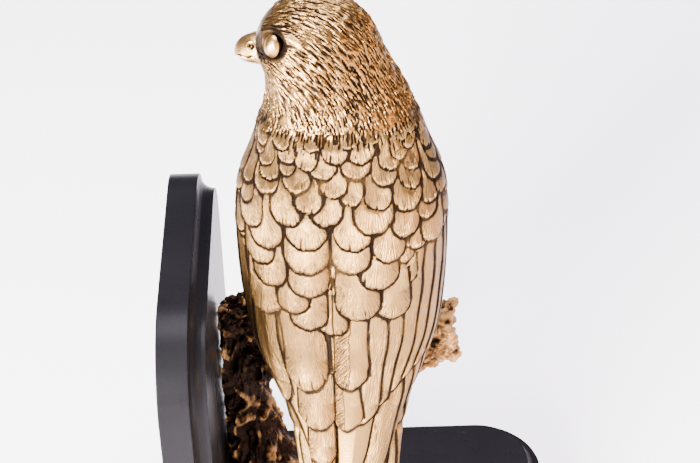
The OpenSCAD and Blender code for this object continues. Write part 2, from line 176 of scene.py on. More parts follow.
peel_bump = add_node(tree, "ShaderNodeBump", {"Height": peel.outputs["Fac"], "Strength": 0.12,
                                              "Distance": 0.0002,
                                              "Normal": soft_edge.outputs["Normal"]})
wipe_bump = add_node(tree, "ShaderNodeBump", {"Height": wipes.outputs["Fac"], "Strength": 0.25,
                                              "Distance": 0.0002,
                                              "Normal": peel_bump.outputs["Normal"]})
dent_bump = add_node(tree, "ShaderNodeBump", {"Height": dent.outputs["Result"],
                                              "Strength": 0.3, "Distance": 0.0003,
                                              "Normal": wipe_bump.outputs["Normal"]})
tree.links.new(dent_bump.outputs["Normal"], shader.inputs["Normal"])
for board in ("upright_board", "base_board", "screw_plugs"):
    dress(board, lacquer)

# ---------------------------------------------------------------- felt and fixings
# Black wool felt glued under the stand, beech dowels between the boards, and plain
# turned steel for every screw, washer, stud, nut and pin. Most of it is out of sight.
FELT_FIBRES = 1 / 0.0006  # tufts of fibres 0.6 mm apart, as single ones are too fine to show
BEECH_GRAIN = 1 / 0.0007  # grain lines 0.7 mm apart
TOOL_MARKS = 1 / 0.0004  # marks of the turning tool 0.4 mm apart

# Needled wool felt: black, without shine, and fuzzy with short fibres
felt, tree, shader = new_material("black_wool_felt")
coords = add_node(tree, "ShaderNodeTexCoord").outputs["Object"]
fibres = add_node(tree, "ShaderNodeTexNoise", {"Vector": coords, "Scale": FELT_FIBRES,
                                               "Detail": 6.0, "Roughness": 0.8})
tone = add_node(tree, "ShaderNodeMix", {0: fibres.outputs["Fac"], 6: linear("#121213"),
                                        7: linear("#2f2e30")}, data_type="RGBA")
tree.links.new(tone.outputs[2], shader.inputs["Base Color"])
shader.inputs["Roughness"].default_value = 0.95
shader.inputs["Sheen Weight"].default_value = 0.4
fuzz = add_node(tree, "ShaderNodeBump", {"Height": fibres.outputs["Fac"], "Strength": 0.8,
                                         "Distance": 0.0004})
tree.links.new(fuzz.outputs["Normal"], shader.inputs["Normal"])
dress("felt_pads", felt)

# Turned beech: pale and dull, with its fine grain along the dowel
beech, tree, shader = new_material("turned_beech")
coords = add_node(tree, "ShaderNodeTexCoord").outputs["Object"]
stretch = add_node(tree, "ShaderNodeMapping", {"Vector": coords, "Scale": (0.08, 1.0, 1.0)})
grain = add_node(tree, "ShaderNodeTexNoise", {"Vector": stretch.outputs["Vector"],
                                              "Scale": BEECH_GRAIN, "Detail": 5.0})
tone = add_node(tree, "ShaderNodeMix", {0: grain.outputs["Fac"], 6: linear("#b98d5e"),
                                        7: linear("#d9b98d")}, data_type="RGBA")
tree.links.new(tone.outputs[2], shader.inputs["Base Color"])
shader.inputs["Roughness"].default_value = 0.6
dress("board_dowels", beech)

# Turned steel: plain grey metal whose shine is broken by fine tool marks
steel, tree, shader = new_material("turned_steel")
coords = add_node(tree, "ShaderNodeTexCoord").outputs["Object"]
turning = add_node(tree, "ShaderNodeTexNoise", {"Vector": coords, "Scale": TOOL_MARKS,
                                                "Detail": 4.0})
tone = add_node(tree, "ShaderNodeMix", {0: turning.outputs["Fac"], 6: linear("#8b8b8a"),
                                        7: linear("#b9b8b5")}, data_type="RGBA")
tree.links.new(tone.outputs[2], shader.inputs["Base Color"])
gloss = add_node(tree, "ShaderNodeMapRange", {"Value": turning.outputs["Fac"],
                                              "To Min": 0.25, "To Max": 0.45})
tree.links.new(gloss.outputs["Result"], shader.inputs["Roughness"])
shader.inputs["Metallic"].default_value = 1.0
for fixing in ("board_screws", "stump_screws", "stump_washers", "neck_pins", "wing_pins",
               "tail_pins", "leg_studs", "leg_nuts"):
    dress(fixing, steel)

# ---------------------------------------------------------------- stump and branch
# Gnarled stump with one branch, cast in bronze with a nearly black patina. The bark is
# knotted and folded, and its ridges are rubbed back to the metal. The foot stands on the
# base board and the broken branch carries the bird.
MM = 0.001
BASE_TOP = 17.5
PERCH_HEIGHT, PERCH_OFFSET, PERCH_TOP = 99, 5, 108
BRANCH_RADIUS, STUMP_RADIUS = 9, 13
STUMP_X, STUMP_Y, STUMP_TOP = -32, 8, 112.5
BRANCH_START, BRANCH_REACH = -39.8, 29
BOARD_FACE = -48.5
BARK_VOXEL = 0.00062
FOLDS, KNOTS, SPLITS, GRIT = 2.1, 1.8, 0.9, 0.26  # how deep each kind of bark mark goes, in mm
SEAT_X, SEAT_HALF, SEAT_LOW = -7, 15, 92  # stretch of the branch that the bird covers
# share of the height, shift along X, and half widths along X and Y, in foot radii
STUMP_ROWS = np.array([
    [0, 0, 1.12, 1.3], [0.12, -0.1, 1, 1.1], [0.35, -0.42, 0.82, 0.92],
    [0.6, -0.68, 0.56, 0.82], [0.8, -0.7, 0.58, 0.85], [1, -0.72, 0.5, 0.7]])
# share of the length, rise and radius in branch radii
BRANCH_ROWS = np.array([
    [0, -0.5, 0.9], [0.2, -0.2, 0.98], [0.3, 0, 0.97], [0.75, 0, 0.97],
    [0.88, 0.2, 1.02], [1, 0.62, 0.98]])


def read(rows, t):
    """Smooth curve through the rows of a table, read at each t."""
    t = np.clip(np.asarray(t, float), rows[0, 0], rows[-1, 0])
    last = len(rows) - 1
    i = np.clip(np.searchsorted(rows[:, 0], t, side="right") - 1, 0, last - 1)
    before = np.maximum(np.arange(last + 1) - 1, 0)
    after = np.minimum(np.arange(last + 1) + 1, last)
    slope = (rows[after] - rows[before]) / (rows[after, 0] - rows[before, 0])[:, None]
    w = rows[i + 1, 0] - rows[i, 0]
    s = ((t - rows[i, 0]) / w)[..., None]
    w = w[..., None]
    return ((2 * s**3 - 3 * s**2 + 1) * rows[i] + (s**3 - 2 * s**2 + s) * w * slope[i]
            + (3 * s**2 - 2 * s**3) * rows[i + 1] + (s**3 - s**2) * w * slope[i + 1])


def cast_sheet(name, points, fields, closed):
    """A grid primitive laid over points[row, column], in mm, with its fields stored on
    the vertices. A closed one is joined to a tube and capped at both ends."""
    rows, columns = points.shape[0] - 1, points.shape[1] - 1
    bpy.ops.object.select_all(action="DESELECT")
    bpy.ops.mesh.primitive_grid_add(x_subdivisions=columns, y_subdivisions=rows, size=1)
    piece = bpy.context.object
    piece.name = piece.data.name = name
    flat = np.zeros(len(piece.data.vertices) * 3, np.float32)
    piece.data.vertices.foreach_get("co", flat)
    flat = flat.reshape(-1, 3)
    column = np.rint((flat[:, 0] + 0.5) * columns).astype(int)
    row = np.rint((flat[:, 1] + 0.5) * rows).astype(int)
    placed = (points[row, column] * MM).astype(np.float32)
    piece.data.vertices.foreach_set("co", placed.ravel())
    for field, values in fields.items():
        kept = values[row, column].astype(np.float32)
        if kept.ndim == 2:
            store = piece.data.attributes.new(field, "FLOAT_VECTOR", "POINT")
            store.data.foreach_set("vector", kept.ravel())
        else:
            store = piece.data.attributes.new(field, "FLOAT", "POINT")
            store.data.foreach_set("value", kept)
    piece.data.update()
    if closed:
        bpy.ops.object.mode_set(mode="EDIT")
        bpy.ops.mesh.select_all(action="SELECT")
        bpy.ops.mesh.remove_doubles(threshold=1e-6)
        bpy.ops.mesh.fill_holes(sides=0)
        bpy.ops.mesh.select_all(action="SELECT")
        bpy.ops.mesh.normals_make_consistent(inside=False)
        bpy.ops.object.mode_set(mode="OBJECT")
    bpy.ops.object.shade_smooth_by_angle(angle=math.radians(75))
    return piece


def join(name, pieces):
    """The pieces made one object, with the first one's attributes."""
    bpy.ops.object.select_all(action="DESELECT")
    for piece in pieces:
        piece.select_set(True)
    bpy.context.view_layer.objects.active = pieces[0]
    bpy.ops.object.join()
    whole = bpy.context.object
    whole.name = whole.data.name = name
    return whole


def positions(piece):
    """Places of a piece's vertices, in mm."""
    co = np.zeros(len(piece.data.vertices) * 3, np.float32)
    piece.data.vertices.foreach_get("co", co)
    return co.reshape(-1, 3).astype(float) / MM


turn = np.linspace(0, 2 * np.pi, 61)
share = np.linspace(0, 1, 60)
r = read(STUMP_ROWS, share)[:, None, :]
a = turn[None, :]
stem = np.stack([
    np.maximum(STUMP_X + STUMP_RADIUS * (r[..., 1] + r[..., 2] * np.cos(a)), BOARD_FACE + 1.6),
    STUMP_Y + STUMP_RADIUS * r[..., 3] * np.sin(a),
    BASE_TOP + (STUMP_TOP - BASE_TOP) * share[:, None] + 0 * a
    + np.where(share[:, None] > 0.9, 2.2 * np.sin(2 * a + 0.6), 0)], -1)
r = read(BRANCH_ROWS, share)[:, None, :]
limb = np.stack([
    BRANCH_START + (BRANCH_REACH - 1 - BRANCH_START) * share[:, None] + 0 * a
    + np.where(share[:, None] > 0.95, 1.8 * np.sin(2 * a), 0),
    PERCH_OFFSET + BRANCH_RADIUS * r[..., 2] * np.cos(a),
    PERCH_HEIGHT + BRANCH_RADIUS * (r[..., 1] + r[..., 2] * np.sin(a))], -1)
stump = join("gnarled_stump", [cast_sheet("stem", stem, {}, True),
                               cast_sheet("limb", limb, {}, True)])
remesh = stump.modifiers.new("one_casting", "REMESH")
remesh.mode, remesh.voxel_size = "VOXEL", BARK_VOXEL
bpy.ops.object.modifier_apply(modifier="one_casting")

place = positions(stump)
normals = np.zeros(len(place) * 3, np.float32)
stump.data.vertices.foreach_get("normal", normals)
normals = normals.reshape(-1, 3)
# The bark runs with the stem, or with the limb where the vertex belongs to that
on_limb = np.clip((place[:, 0] + 34) / 10, 0, 1) * np.clip((place[:, 2] - 80) / 8, 0, 1)
depth = np.zeros(len(place))
for i, (x, y, z) in enumerate(place):
    k = on_limb[i]
    fold = Vector((x * (0.17 - 0.10 * k), y * 0.17, z * (0.055 + 0.12 * k)))
    bend = noise.noise(fold * 1.7) * 0.9
    ridge = 1 - abs(noise.noise(fold + Vector((bend, bend, 0)))) * 2.2
    knot = noise.noise(Vector((x, y, z)) * 0.23)
    split = 1 - abs(noise.noise(Vector((x * (0.55 - 0.3 * k), y * 0.55,
                                        z * (0.20 + 0.3 * k))))) * 2.4
    grit = noise.noise(Vector((x, y, z)) * 0.95)
    depth[i] = FOLDS * (ridge - 0.5) + KNOTS * knot + SPLITS * (split - 0.45) + GRIT * grit
# The seat under the bird's feet is worn smooth, and the flat foot stays flat
seat = (np.abs(place[:, 0] - SEAT_X) < SEAT_HALF) & (place[:, 2] > SEAT_LOW)
worn = np.where(seat, 0.30, 1.0)
foot = np.clip((place[:, 2] - BASE_TOP) / 1.5, 0, 1)
depth *= worn * foot
depth = np.where(seat, np.minimum(depth, 0.1), depth)
placed = place + normals * depth[:, None]
placed[:, 0] = np.maximum(placed[:, 0], BOARD_FACE + 0.3)
placed[:, 2] = np.maximum(placed[:, 2], BASE_TOP)
stump.data.vertices.foreach_set("co", (placed * MM).astype(np.float32).ravel())
store = stump.data.attributes.new("ridge", "FLOAT", "POINT")
# Painted highlight: the branch's broken end shows the most bare metal, standing in for light on
# its lit faces
stub_painted_highlight = 0.34 * np.clip((place[:, 0] - 8) / 12, 0, 1)
store.data.foreach_set("value", np.clip(depth / 3 + 0.5 + stub_painted_highlight, 0, 1).astype(np.float32))
stump.data.update()

BARK_PITS = 1 / 0.0016  # pits of the casting 1.6 mm apart, coarser than real so that they show
BARK_PATCHES = 1 / 0.007  # rubbing comes and goes over 7 mm

# Cast bronze with a sulphur patina: nearly black and dull, with warm metal where it is rubbed
bark, tree, shader = new_material("black_patina_bronze")
coords = add_node(tree, "ShaderNodeTexCoord").outputs["Object"]
ridge = add_node(tree, "ShaderNodeAttribute", attribute_name="ridge").outputs["Fac"]
pits = add_node(tree, "ShaderNodeTexNoise", {"Vector": coords, "Scale": BARK_PITS,
                                             "Detail": 6.0, "Roughness": 0.7})
patch = add_node(tree, "ShaderNodeTexNoise", {"Vector": coords, "Scale": BARK_PATCHES,
                                              "Detail": 3.0, "Roughness": 0.6})
# Rubbing shows the metal on the highest ridges, in patches; the ridge attribute also carries the
# painted highlight on the branch's end
high = add_node(tree, "ShaderNodeMath", {0: ridge, 1: patch.outputs["Fac"]},
                operation="ADD")
grain = add_node(tree, "ShaderNodeMath", {0: pits.outputs["Fac"], 1: 0.5,
                                          2: high.outputs["Value"]},
                 operation="MULTIPLY_ADD")
rubbed = add_node(tree, "ShaderNodeMapRange", {"Value": grain.outputs["Value"],
                                               "From Min": 1.47, "From Max": 1.74})
metal = add_node(tree, "ShaderNodeMix", {0: patch.outputs["Fac"], 6: linear("#6e4a28"),
                                         7: linear("#ab8253")}, data_type="RGBA")
dark = add_node(tree, "ShaderNodeMix", {0: pits.outputs["Fac"], 6: linear("#130c08"),
                                        7: linear("#30221a")}, data_type="RGBA")
tone = add_node(tree, "ShaderNodeMix", {0: rubbed.outputs["Result"],
                                        6: dark.outputs[2], 7: metal.outputs[2]},
                data_type="RGBA")
tree.links.new(tone.outputs[2], shader.inputs["Base Color"])
shader.inputs["Metallic"].default_value = 1.0
gloss = add_node(tree, "ShaderNodeMapRange", {"Value": pits.outputs["Fac"], "To Min": 0.28,
                                              "To Max": 0.60})
tree.links.new(gloss.outputs["Result"], shader.inputs["Roughness"])
pitting = add_node(tree, "ShaderNodeBump", {"Height": pits.outputs["Fac"], "Strength": 0.7,
                                            "Distance": 0.0008})
tree.links.new(pitting.outputs["Normal"], shader.inputs["Normal"])
stump.data.materials.clear()
stump.data.materials.append(bark)
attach(stump, "root")
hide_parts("stump")

# ---------------------------------------------------------------- torso
# Hollow casting of the neck, breast and belly in bronze. The plumage is carved in the
# wax: scalloped mantle feathers that lie over each other like tiles, each with its
# barbs scratched in. A brown patina stays in the grooves, deepened by painted shadow under
# each rim, painted shade darkens the flanks, and the tips are buffed.
BIRD_X = -7
# height over the branch, place along Y, half width, depth to front and back
FORM_ROWS = np.array([
    [-65, -50, 12, 1.6, 1.6], [-49, -42.5, 14.5, 2.2, 2.2], [-31, -35, 15.5, 3.4, 3],
    [-17, -28.5, 17.5, 5.6, 5.2], [-6, -23, 20.5, 6.5, 8.5], [2, -17, 23.5, 7, 13],
    [9, -12, 26, 11, 16.5], [15, -10, 27.2, 19.5, 18], [21, -8, 28, 25, 19],
    [35, -4.5, 29, 28.5, 21], [49, -1.5, 29.2, 27.5, 21], [61, 3, 28, 24, 20],
    [71, 6.5, 25.8, 20, 19], [80, 9, 23, 17.5, 17.5]], float)
TAIL_TIP, TAIL_ROOT, NECK_SEAM = -65, -17, 80
# right wing's edges: height, angle of its rear edge and of its front edge
WING_ROWS = np.array([
    [-49, 272, 284], [-37, 271.5, 300], [-19, 271, 318], [-7, 271, 330], [6, 271, 350],
    [26, 271, 372], [46, 271, 378], [61, 271.5, 376], [73, 275, 364]], float)
WING_TIP, WING_SHOULDER, WING_THICKNESS, SEAT_GAP = -49, 73, 3, 0.2
SEAM = -3.5  # the folded wings meet this far left of the bird's middle, in mm
SINK = 0.015  # where a wing runs out on the shoulder it is this much proud of the torso
plumage_draw = np.random.default_rng(11)


def body_point(h, degrees, out=0.0):
    """Point of the bird's form at a height and an angle, moved out by out."""
    h, degrees = np.broadcast_arrays(np.asarray(h, float), np.asarray(degrees, float))
    r = read(FORM_ROWS, h)
    c, s = np.cos(np.radians(degrees)), np.sin(np.radians(degrees))
    return np.stack([BIRD_X + (r[..., 2] + out) * c,
                     PERCH_OFFSET + r[..., 1] + (np.where(s > 0, r[..., 3], r[..., 4]) + out) * s,
                     PERCH_TOP + h], -1)


def across_back(h, degrees):
    """Arc length from the middle of the back round to each angle, in mm."""
    stops = 270 + (np.asarray(degrees)[..., None] - 270) * np.linspace(0, 1, 33)
    path = body_point(np.broadcast_to(np.asarray(h)[..., None], stops.shape), stops)
    length = np.linalg.norm(np.diff(path, axis=-2), axis=-1).sum(-1)
    return length * np.sign(np.asarray(degrees) - 270)


def step(low, high, x):
    """Smooth step from 0 at low to 1 at high."""
    s = np.clip((x - low) / (high - low), 0, 1)
    return s * s * (3 - 2 * s)


def feather(place, tip, width, length=None, lean=0.0, lift=None, blunt=2.0, barbs=0, nicks=0,
            bend=90.0):
    """One feather: its tip's place across and along the back, its size and its lean."""
    length = length or 1.35 * width + 2.5
    lift = lift or 0.18 + 0.064 * width
    return (place, tip, width, length, lean, lift, blunt, barbs, nicks, bend,
            plumage_draw.uniform(0, 50), plumage_draw.uniform(-0.5, 0.5))


def lay_feathers(across, along, layers):
    """Lays feathers over each other, layer by layer and from the lowest tip up. Gives
    the relief, the shade in the grooves (patina, with a painted shadow under each rim) and
    the barbs' running coordinates."""
    relief = np.zeros(across.shape)
    shade = np.zeros(across.shape)
    plume = np.zeros(across.shape + (3,))
    plume[..., 0], plume[..., 1] = across, along
    order = [f for layer in layers for f in sorted(layer, key=lambda f: f[1])]
    for (place, tip, width, length, lean, lift, blunt, barbs, nicks, bend, seed,
         slant) in order:
        half = width / 2
        reach = half + abs(lean) * length + 2
        near = ((np.abs(across - place) < reach) & (along > tip - 1.5)
                & (along < tip + length))
        if not near.any():
            continue
        x, v = across[near] - place, along[near] - tip
        x = x - lean * v * (1 - np.clip(v, 0, bend) / (2 * bend))
        if length > 20:
            x = x + 0.3 * np.sin(0.27 * v + seed) * np.clip(v / 8, 0, 1)
        u = np.abs(x) / half
        edge = half * (0.95 + 2 * (2 - blunt)) * (
            1 - np.clip(1 - np.clip(u, 0, 1) ** blunt, 0, 1) ** (1 / blunt))
        edge = edge + 0.013 * width * (np.sin(1.5 * x + seed) + 0.6 * np.sin(4.3 * x + 2 * seed))
        slope = np.sqrt(1 + (u / np.sqrt(np.clip(1.02 - u * u, 0.05, 1))) ** 2)
        inner = np.minimum((v - edge) / slope, (1 - u) * half)
        outer = np.where(u < 1, (edge - v) / slope, np.hypot((u - 1) * half,
                                                              np.maximum(half * 0.9 - v, 0)))
        inside = inner > 0
        top = lift * (1 - np.clip(v / length, 0, 1)) + 0.10 * width * lift * (1 - u * u)
        top = top * (1 - 0.42 * (1 - np.clip(inner / 0.75, 0, 1)) ** 2)
        old_relief, old_shade, old_plume = relief[near], shade[near], plume[near]
        wide = 0.55 + 0.4 * (seed % 1)
        # Under each rim: patina in the groove, and a painted shadow of the overhanging rim that
        # fades out over 2.4 mm
        groove = (~inside) & (outer < 2.4) & (v < 0.8 * length)
        under = np.maximum(1 - outer / (wide + 0.15), 0.25 * (1 - outer / 2.4))
        old_shade = np.where(groove, np.maximum(old_shade, under), old_shade)
        old_relief = np.where(groove, old_relief - 0.14 * np.clip(1 - outer / wide, 0, 1),
                              old_relief)
        cut = np.zeros(len(x))
        for i in range(nicks):
            at = (slant + (i - (nicks - 1) / 2) * 0.55) * half
            run = np.clip(v - edge, 0, 99)
            long = 0.22 * width * (1 + 0.5 * math.sin(seed * (i + 2)))
            off = x - at * (1 - 0.03 * run)
            cut = np.maximum(cut, np.exp(-(off / 0.24) ** 2) * np.clip(1.3 - run / long, 0, 1))
        relief[near] = np.where(inside, top - 0.35 * lift * cut, old_relief)
        shade[near] = np.where(inside, 0.85 * cut, old_shade)
        root = 1.3 * width
        fan = np.arctan2(x, np.maximum(root - v, 0.4 * width)) * root
        fan = np.where(v > 0.9 * width, x, fan) if length > 2.5 * width else fan
        if barbs:
            # one side shows its barbs running aslant from the shaft
            fan = np.where(x * barbs > 0, (v * 0.75 + np.abs(x)) * 0.8, fan)
        fresh = np.stack([fan + seed * 3, v, np.where(inside, np.clip(
            1.15 - inner / (0.55 * width), 0.3, 1)
            if not barbs else np.where(x * barbs > 0, 1.6, 0.3), 0)], -1)
        plume[near] = np.where(inside[:, None], fresh, old_plume)
    return relief, shade, plume


def softened(field, passes, closed):
    """The field averaged with its neighbours again and again."""
    for _ in range(passes):
        if closed:
            ring = field[:, :-1]
            ring = (ring * 2 + np.roll(ring, 1, 1) + np.roll(ring, -1, 1)) / 4
            field = np.concatenate([ring, ring[:, :1]], 1)
        else:
            padded = np.pad(field, ((0, 0), (1, 1)), "edge")
            field = (field * 2 + padded[:, :-2] + padded[:, 2:]) / 4
        padded = np.pad(field, ((1, 1), (0, 0)), "edge")
        field = (field * 2 + padded[:-2] + padded[2:]) / 4
    return field


def carved(points, relief, closed):
    """The sheet moved out along its normals by the relief."""
    if closed:
        ring = points[:, :-1]
        du = np.roll(ring, -1, 1) - np.roll(ring, 1, 1)
        du = np.concatenate([du, du[:, :1]], 1)
    else:
        du = np.gradient(points, axis=1)
    dv = np.gradient(points, axis=0)
    normal = np.cross(du, dv)
    normal /= np.maximum(np.linalg.norm(normal, axis=-1, keepdims=True), 1e-9)
    return points + normal * relief[..., None]


def hollows(relief, shade, closed):
    """How deep each place lies under its surroundings, plus the shade given: 0 buffed, 1 dark
    with patina and painted shade.
    """
    deep = (softened(relief, 14, closed) - relief) / 0.34
    return np.clip(0.30 + deep + 0.75 * shade, 0, 1.5)


# The mantle, row by row: place across the back, height of the tip and width, in mm
MANTLE = [
    (-25.5, 76, 7.5), (-20, 77.5, 6.5), (-14.5, 77, 7), (-7, 78, 7.5), (2.5, 76, 9.5),
    (9.5, 76.2, 7.5), (16, 78, 5.8), (24, 75.5, 7.5),
    (-27, 72.2, 7), (-18.5, 73.6, 7), (-8.5, 75, 8.2), (20, 75, 6.5), (-27.2, 70, 5.5),
    (-24, 68, 7), (-16.6, 70.5, 6.5), (-10.2, 69.6, 8), (-1.6, 72, 9), (5.9, 71.6, 9),
    (18.5, 70.3, 7), (22.4, 72, 6.5), (31.5, 68.5, 8),
    (-22, 65, 8), (-16, 67.5, 6), (-5.4, 67.8, 9.5), (4.4, 67.8, 9.4), (15, 68.5, 8),
    (22.2, 66.5, 6.6), (32, 65, 8),
    (-22.5, 61.8, 9.5), (-12.8, 63.9, 9.4), (12.8, 65.2, 8.5), (20.6, 62.5, 8),
    (30, 61.5, 8.5),
    (-2.4, 63.2, 8.8), (2.7, 61.2, 7.2), (10.1, 59.5, 8.3), (18.7, 57.8, 9.6),
    (26.5, 56.8, 7.5), (32, 57, 8),
    (-27, 51.6, 10), (-15, 55.5, 10.5), (-9.1, 59.2, 9.6), (-4.4, 56, 10.4),
    (8.5, 53.6, 11.5), (25.2, 53.2, 7.7),
    (-22.2, 47.5, 11.3), (-10, 49.2, 11.6), (2.9, 49.2, 11), (17.6, 51, 9.2),
    (27.1, 46, 9.5),
    (-24.2, 41.8, 11), (-10.2, 41.8, 12.4), (2.2, 42.2, 11.4), (12.6, 44.8, 9.5),
    (21.7, 45.8, 6.4),
    (-21.2, 35.5, 11), (-9.9, 34, 11.6), (9.6, 36.5, 11.5),
    (-23.2, 25, 12), (-14.2, 27.6, 9.7), (-10.1, 22.3, 10.8), (3.8, 26.2, 12.8),
    (13.6, 25.2, 10.2), (-3.2, 20, 9),
    (-35.5, 62.2, 7), (-34.3, 58, 7), (-32.8, 47, 6), (-29, 57, 6.8), (-30, 61.8, 5.8),
    (36, 55, 8), (37, 62, 8), (35.3, 50.2, 7.6)]
mantle = [feather(p, h, w, nicks=int(plumage_draw.integers(0, 4)) if w > 7 else 0)
          for p, h, w in MANTLE]
# Smaller tiles fill in between, and run on over the shoulders to the breast
coverts = []
for row in range(17):
    tip = 79 - 3.6 * row
    width = 5.2 + 0.10 * row
    for k in range(-12, 13):
        p = (k + 0.5 * (row % 2)) * width * 0.93 + plumage_draw.uniform(-0.4, 0.4)
        if tip > (31 if abs(p) < 19 else 46) - (0 if abs(p) < 24 else 2.5):
            coverts.append(feather(p, tip + plumage_draw.uniform(-0.5, 0.5), width,
                                   blunt=1.8 if abs(p) > 22 else 2.0))
# Secondaries end along a slanting line, over the long primaries that run to the tail
secondaries, primaries = [], []
for p, tip, width, lean in ((37, 17, 6.5, 0.26), (32.5, 13, 6.2, 0.32), (28, 10, 6.2, 0.38),
                            (23.5, 7, 6, 0.44), (19, 4.5, 6, 0.5), (14.5, 1.5, 6, 0.5),
                            (10.5, -2, 6, 0.46), (6.5, -6.5, 6.5, 0.36),
                            (3, -11.5, 7.5, 0.26)):
    secondaries.append([feather(p, tip, width, 62, lean, 0.55, 1.75, nicks=1, bend=40)])
for p, tip, width, lean in ((-41, 16, 7, -0.2), (-36, 12, 7, -0.24), (-30.5, 6, 7.5, -0.3),
                            (-24.5, 0, 7.5, -0.34), (-18, -6, 8, -0.34)):
    secondaries.append([feather(p, tip, width, 62, lean, 0.55, 1.75, nicks=1, bend=40)])
for k in range(8, -1, -1):
    primaries.append([feather(-2.2 + 3.1 * k, -49 + 3.4 * k, 6.4, 75, 0.46 + 0.012 * k, 0.5,
                              1.7, bend=70)])
    primaries.append([feather(-6.6 - 3.1 * k, -49 + 3.4 * k, 6.4, 75, -0.46 - 0.012 * k, 0.5,
                              1.7, bend=70)])
# Broad, slightly pointed scapulars lie in one column down each side of the seam
scapulars = [
    feather(-6.9, -25.6, 6.8, 16, -0.02, 0.85, 1.85, nicks=1),
    feather(-7.9, -13.2, 10, 19, -0.05, 1.0, 1.85, nicks=3),
    feather(-0.6, -13.6, 9.4, 21, 0.0, 1.0, 1.75, nicks=2, barbs=-1),
    feather(-10.4, 0.4, 12, 27, -0.10, 1.1, 1.85, nicks=3),
    feather(0.6, 1.0, 10.4, 25, 0.05, 1.05, 1.8, nicks=3, barbs=-1)]
plumage = primaries + secondaries + [scapulars, coverts, mantle]
# Soft small feathers on the breast and belly, which the wings leave open
breast = []
for row in range(26):
    tip = 78 - 3.7 * row
    for k in range(-14, 15):
        p = 72 + (k + 0.5 * (row % 2)) * 4.9 + plumage_draw.uniform(-0.4, 0.4)
        breast.append(feather(p, tip + plumage_draw.uniform(-0.4, 0.4), 5.6, lift=0.34,
                              blunt=1.7))


def flank_painted_shade(p, h):
    """Painted shade: the flanks are made darker than the back, and the right side of the tail
    darker still, standing in for the dark surroundings they mirror.
    """
    return 0.40 * step(21, 35, np.abs(p)) + 0.26 * step(1, 12, p) * step(22, -14, h)


def wing_out(h, share_across):
    """How far the wing's outer face stands off the torso."""
    depth = WING_THICKNESS * (0.4 + 0.6 * np.clip(5 * share_across * (1 - share_across), 0, 1))
    run_out = step(0, 15, WING_SHOULDER - h) * np.clip(0.5 + (h - WING_TIP) / 20, 0, 1)
    return SINK + (SEAT_GAP + depth) * run_out


def stroke_cuts(points, normals, flow, starts, sizes, bends):
    """Cuts short curved strokes into a surface. Gives their relief and their shade."""
    relief = np.zeros(len(points))
    shade = np.zeros(len(points))
    for start, (long, wide, deep), curl in zip(starts, sizes, bends):
        away = points - points[start]
        near = np.nonzero((np.abs(away) < long).all(-1))[0]
        away = away[near]
        along = away @ flow[start] / (long / 2)
        off = away @ np.cross(normals[start], flow[start]) - curl * (along**2) * long * 0.12
        cut = np.exp(-(off / wide) ** 2) * np.clip(1 - along**2, 0, 1)
        rim = np.exp(-((np.abs(off) - 2.1 * wide) / wide) ** 2) * np.clip(1 - along**2, 0, 1)
        relief[near] = np.minimum(relief[near] + 0.25 * deep * rim, 0.35) - deep * cut
        shade[near] = np.maximum(shade[near], cut * min(1, deep * 2.6))
    return np.maximum(relief, -0.75), shade


def neck_strokes(h):
    """Share of the tile relief left towards the neck's seam."""
    return 1 - 0.88 * step(NECK_SEAM - 5, NECK_SEAM - 1, h)


rows, columns = 236, 300
h = np.linspace(TAIL_ROOT, NECK_SEAM, rows + 1)[:, None] + np.zeros(columns + 1)
# Angles are even along the girth, from the breast round the back to the breast again
girth_angles = np.linspace(90, 450, 721)
girth = body_point(35, girth_angles)
run = np.concatenate([[0], np.cumsum(np.linalg.norm(np.diff(girth, axis=0), axis=1))])
even = np.interp(np.linspace(0, run[-1], columns + 1), run, girth_angles)
angle = even[None, :] + np.zeros((rows + 1, 1))
p = across_back(h, angle)
right = read(WING_ROWS, h)
turned = np.where(angle < 270, 540 - angle, angle)
share_across = (turned - right[..., 1]) / (right[..., 2] - right[..., 1])
over_wing = (share_across < 1) & (h < WING_SHOULDER)
raised = np.where(over_wing, wing_out(h, np.clip(share_across, 0, 1)) - SINK, 0)
raised *= step(45, 57, h) * step(0, 0.12, 1 - share_across)
relief, shade, plume = lay_feathers(p, h, plumage)
front_relief, front_shade, front_plume = lay_feathers(np.abs(p), h, [breast])
at_front = step(43, 47, np.abs(p))
relief = relief + (front_relief - relief) * at_front
shade = shade + (front_shade - shade) * at_front
plume = plume + (front_plume - plume) * (at_front > 0.5)[..., None]
hidden = over_wing & (h < 50)
relief = np.where(hidden, 0, relief) * neck_strokes(h) * step(-17, -14, h)
# Short strokes run down from the neck and thin out among the first tiles
near_neck = h[:, :-1] > 70
neck_cells = body_point(h[:, :-1][near_neck], angle[:, :-1][near_neck])
neck_out = neck_cells - [BIRD_X, PERCH_OFFSET + 7, 0]
neck_out[:, 2] = 0
neck_out /= np.linalg.norm(neck_out, axis=1, keepdims=True)
neck_flow = np.tile([0, 0, -1.0], (len(neck_cells), 1))
chance = step(71.5, 80, neck_cells[:, 2] - PERCH_TOP) ** 1.3
starts = plumage_draw.choice(len(neck_cells), 1000, p=chance / chance.sum())
sizes = [(plumage_draw.uniform(2.2, 4.6), plumage_draw.uniform(0.14, 0.23),
          plumage_draw.uniform(0.12, 0.30)) for _ in starts]
cuts, cut_shade = stroke_cuts(neck_cells, neck_out, neck_flow, starts, sizes,
                              plumage_draw.uniform(-1, 1, len(starts)))
relief[:, :-1][near_neck] = np.maximum(relief[:, :-1][near_neck] + cuts, -0.5)
shade *= neck_strokes(h)
plume[..., 2] *= neck_strokes(h)
shade[:, :-1][near_neck] = np.maximum(shade[:, :-1][near_neck], 0.7 * cut_shade)
relief[:, -1], shade[:, -1] = relief[:, 0], shade[:, 0]
torso_points = carved(body_point(h, angle, raised), relief, True)
torso = cast_sheet("feathered_torso", torso_points, {
    "hollow": hollows(relief, shade, True) + flank_painted_shade(p, h), "plume": plume}, True)

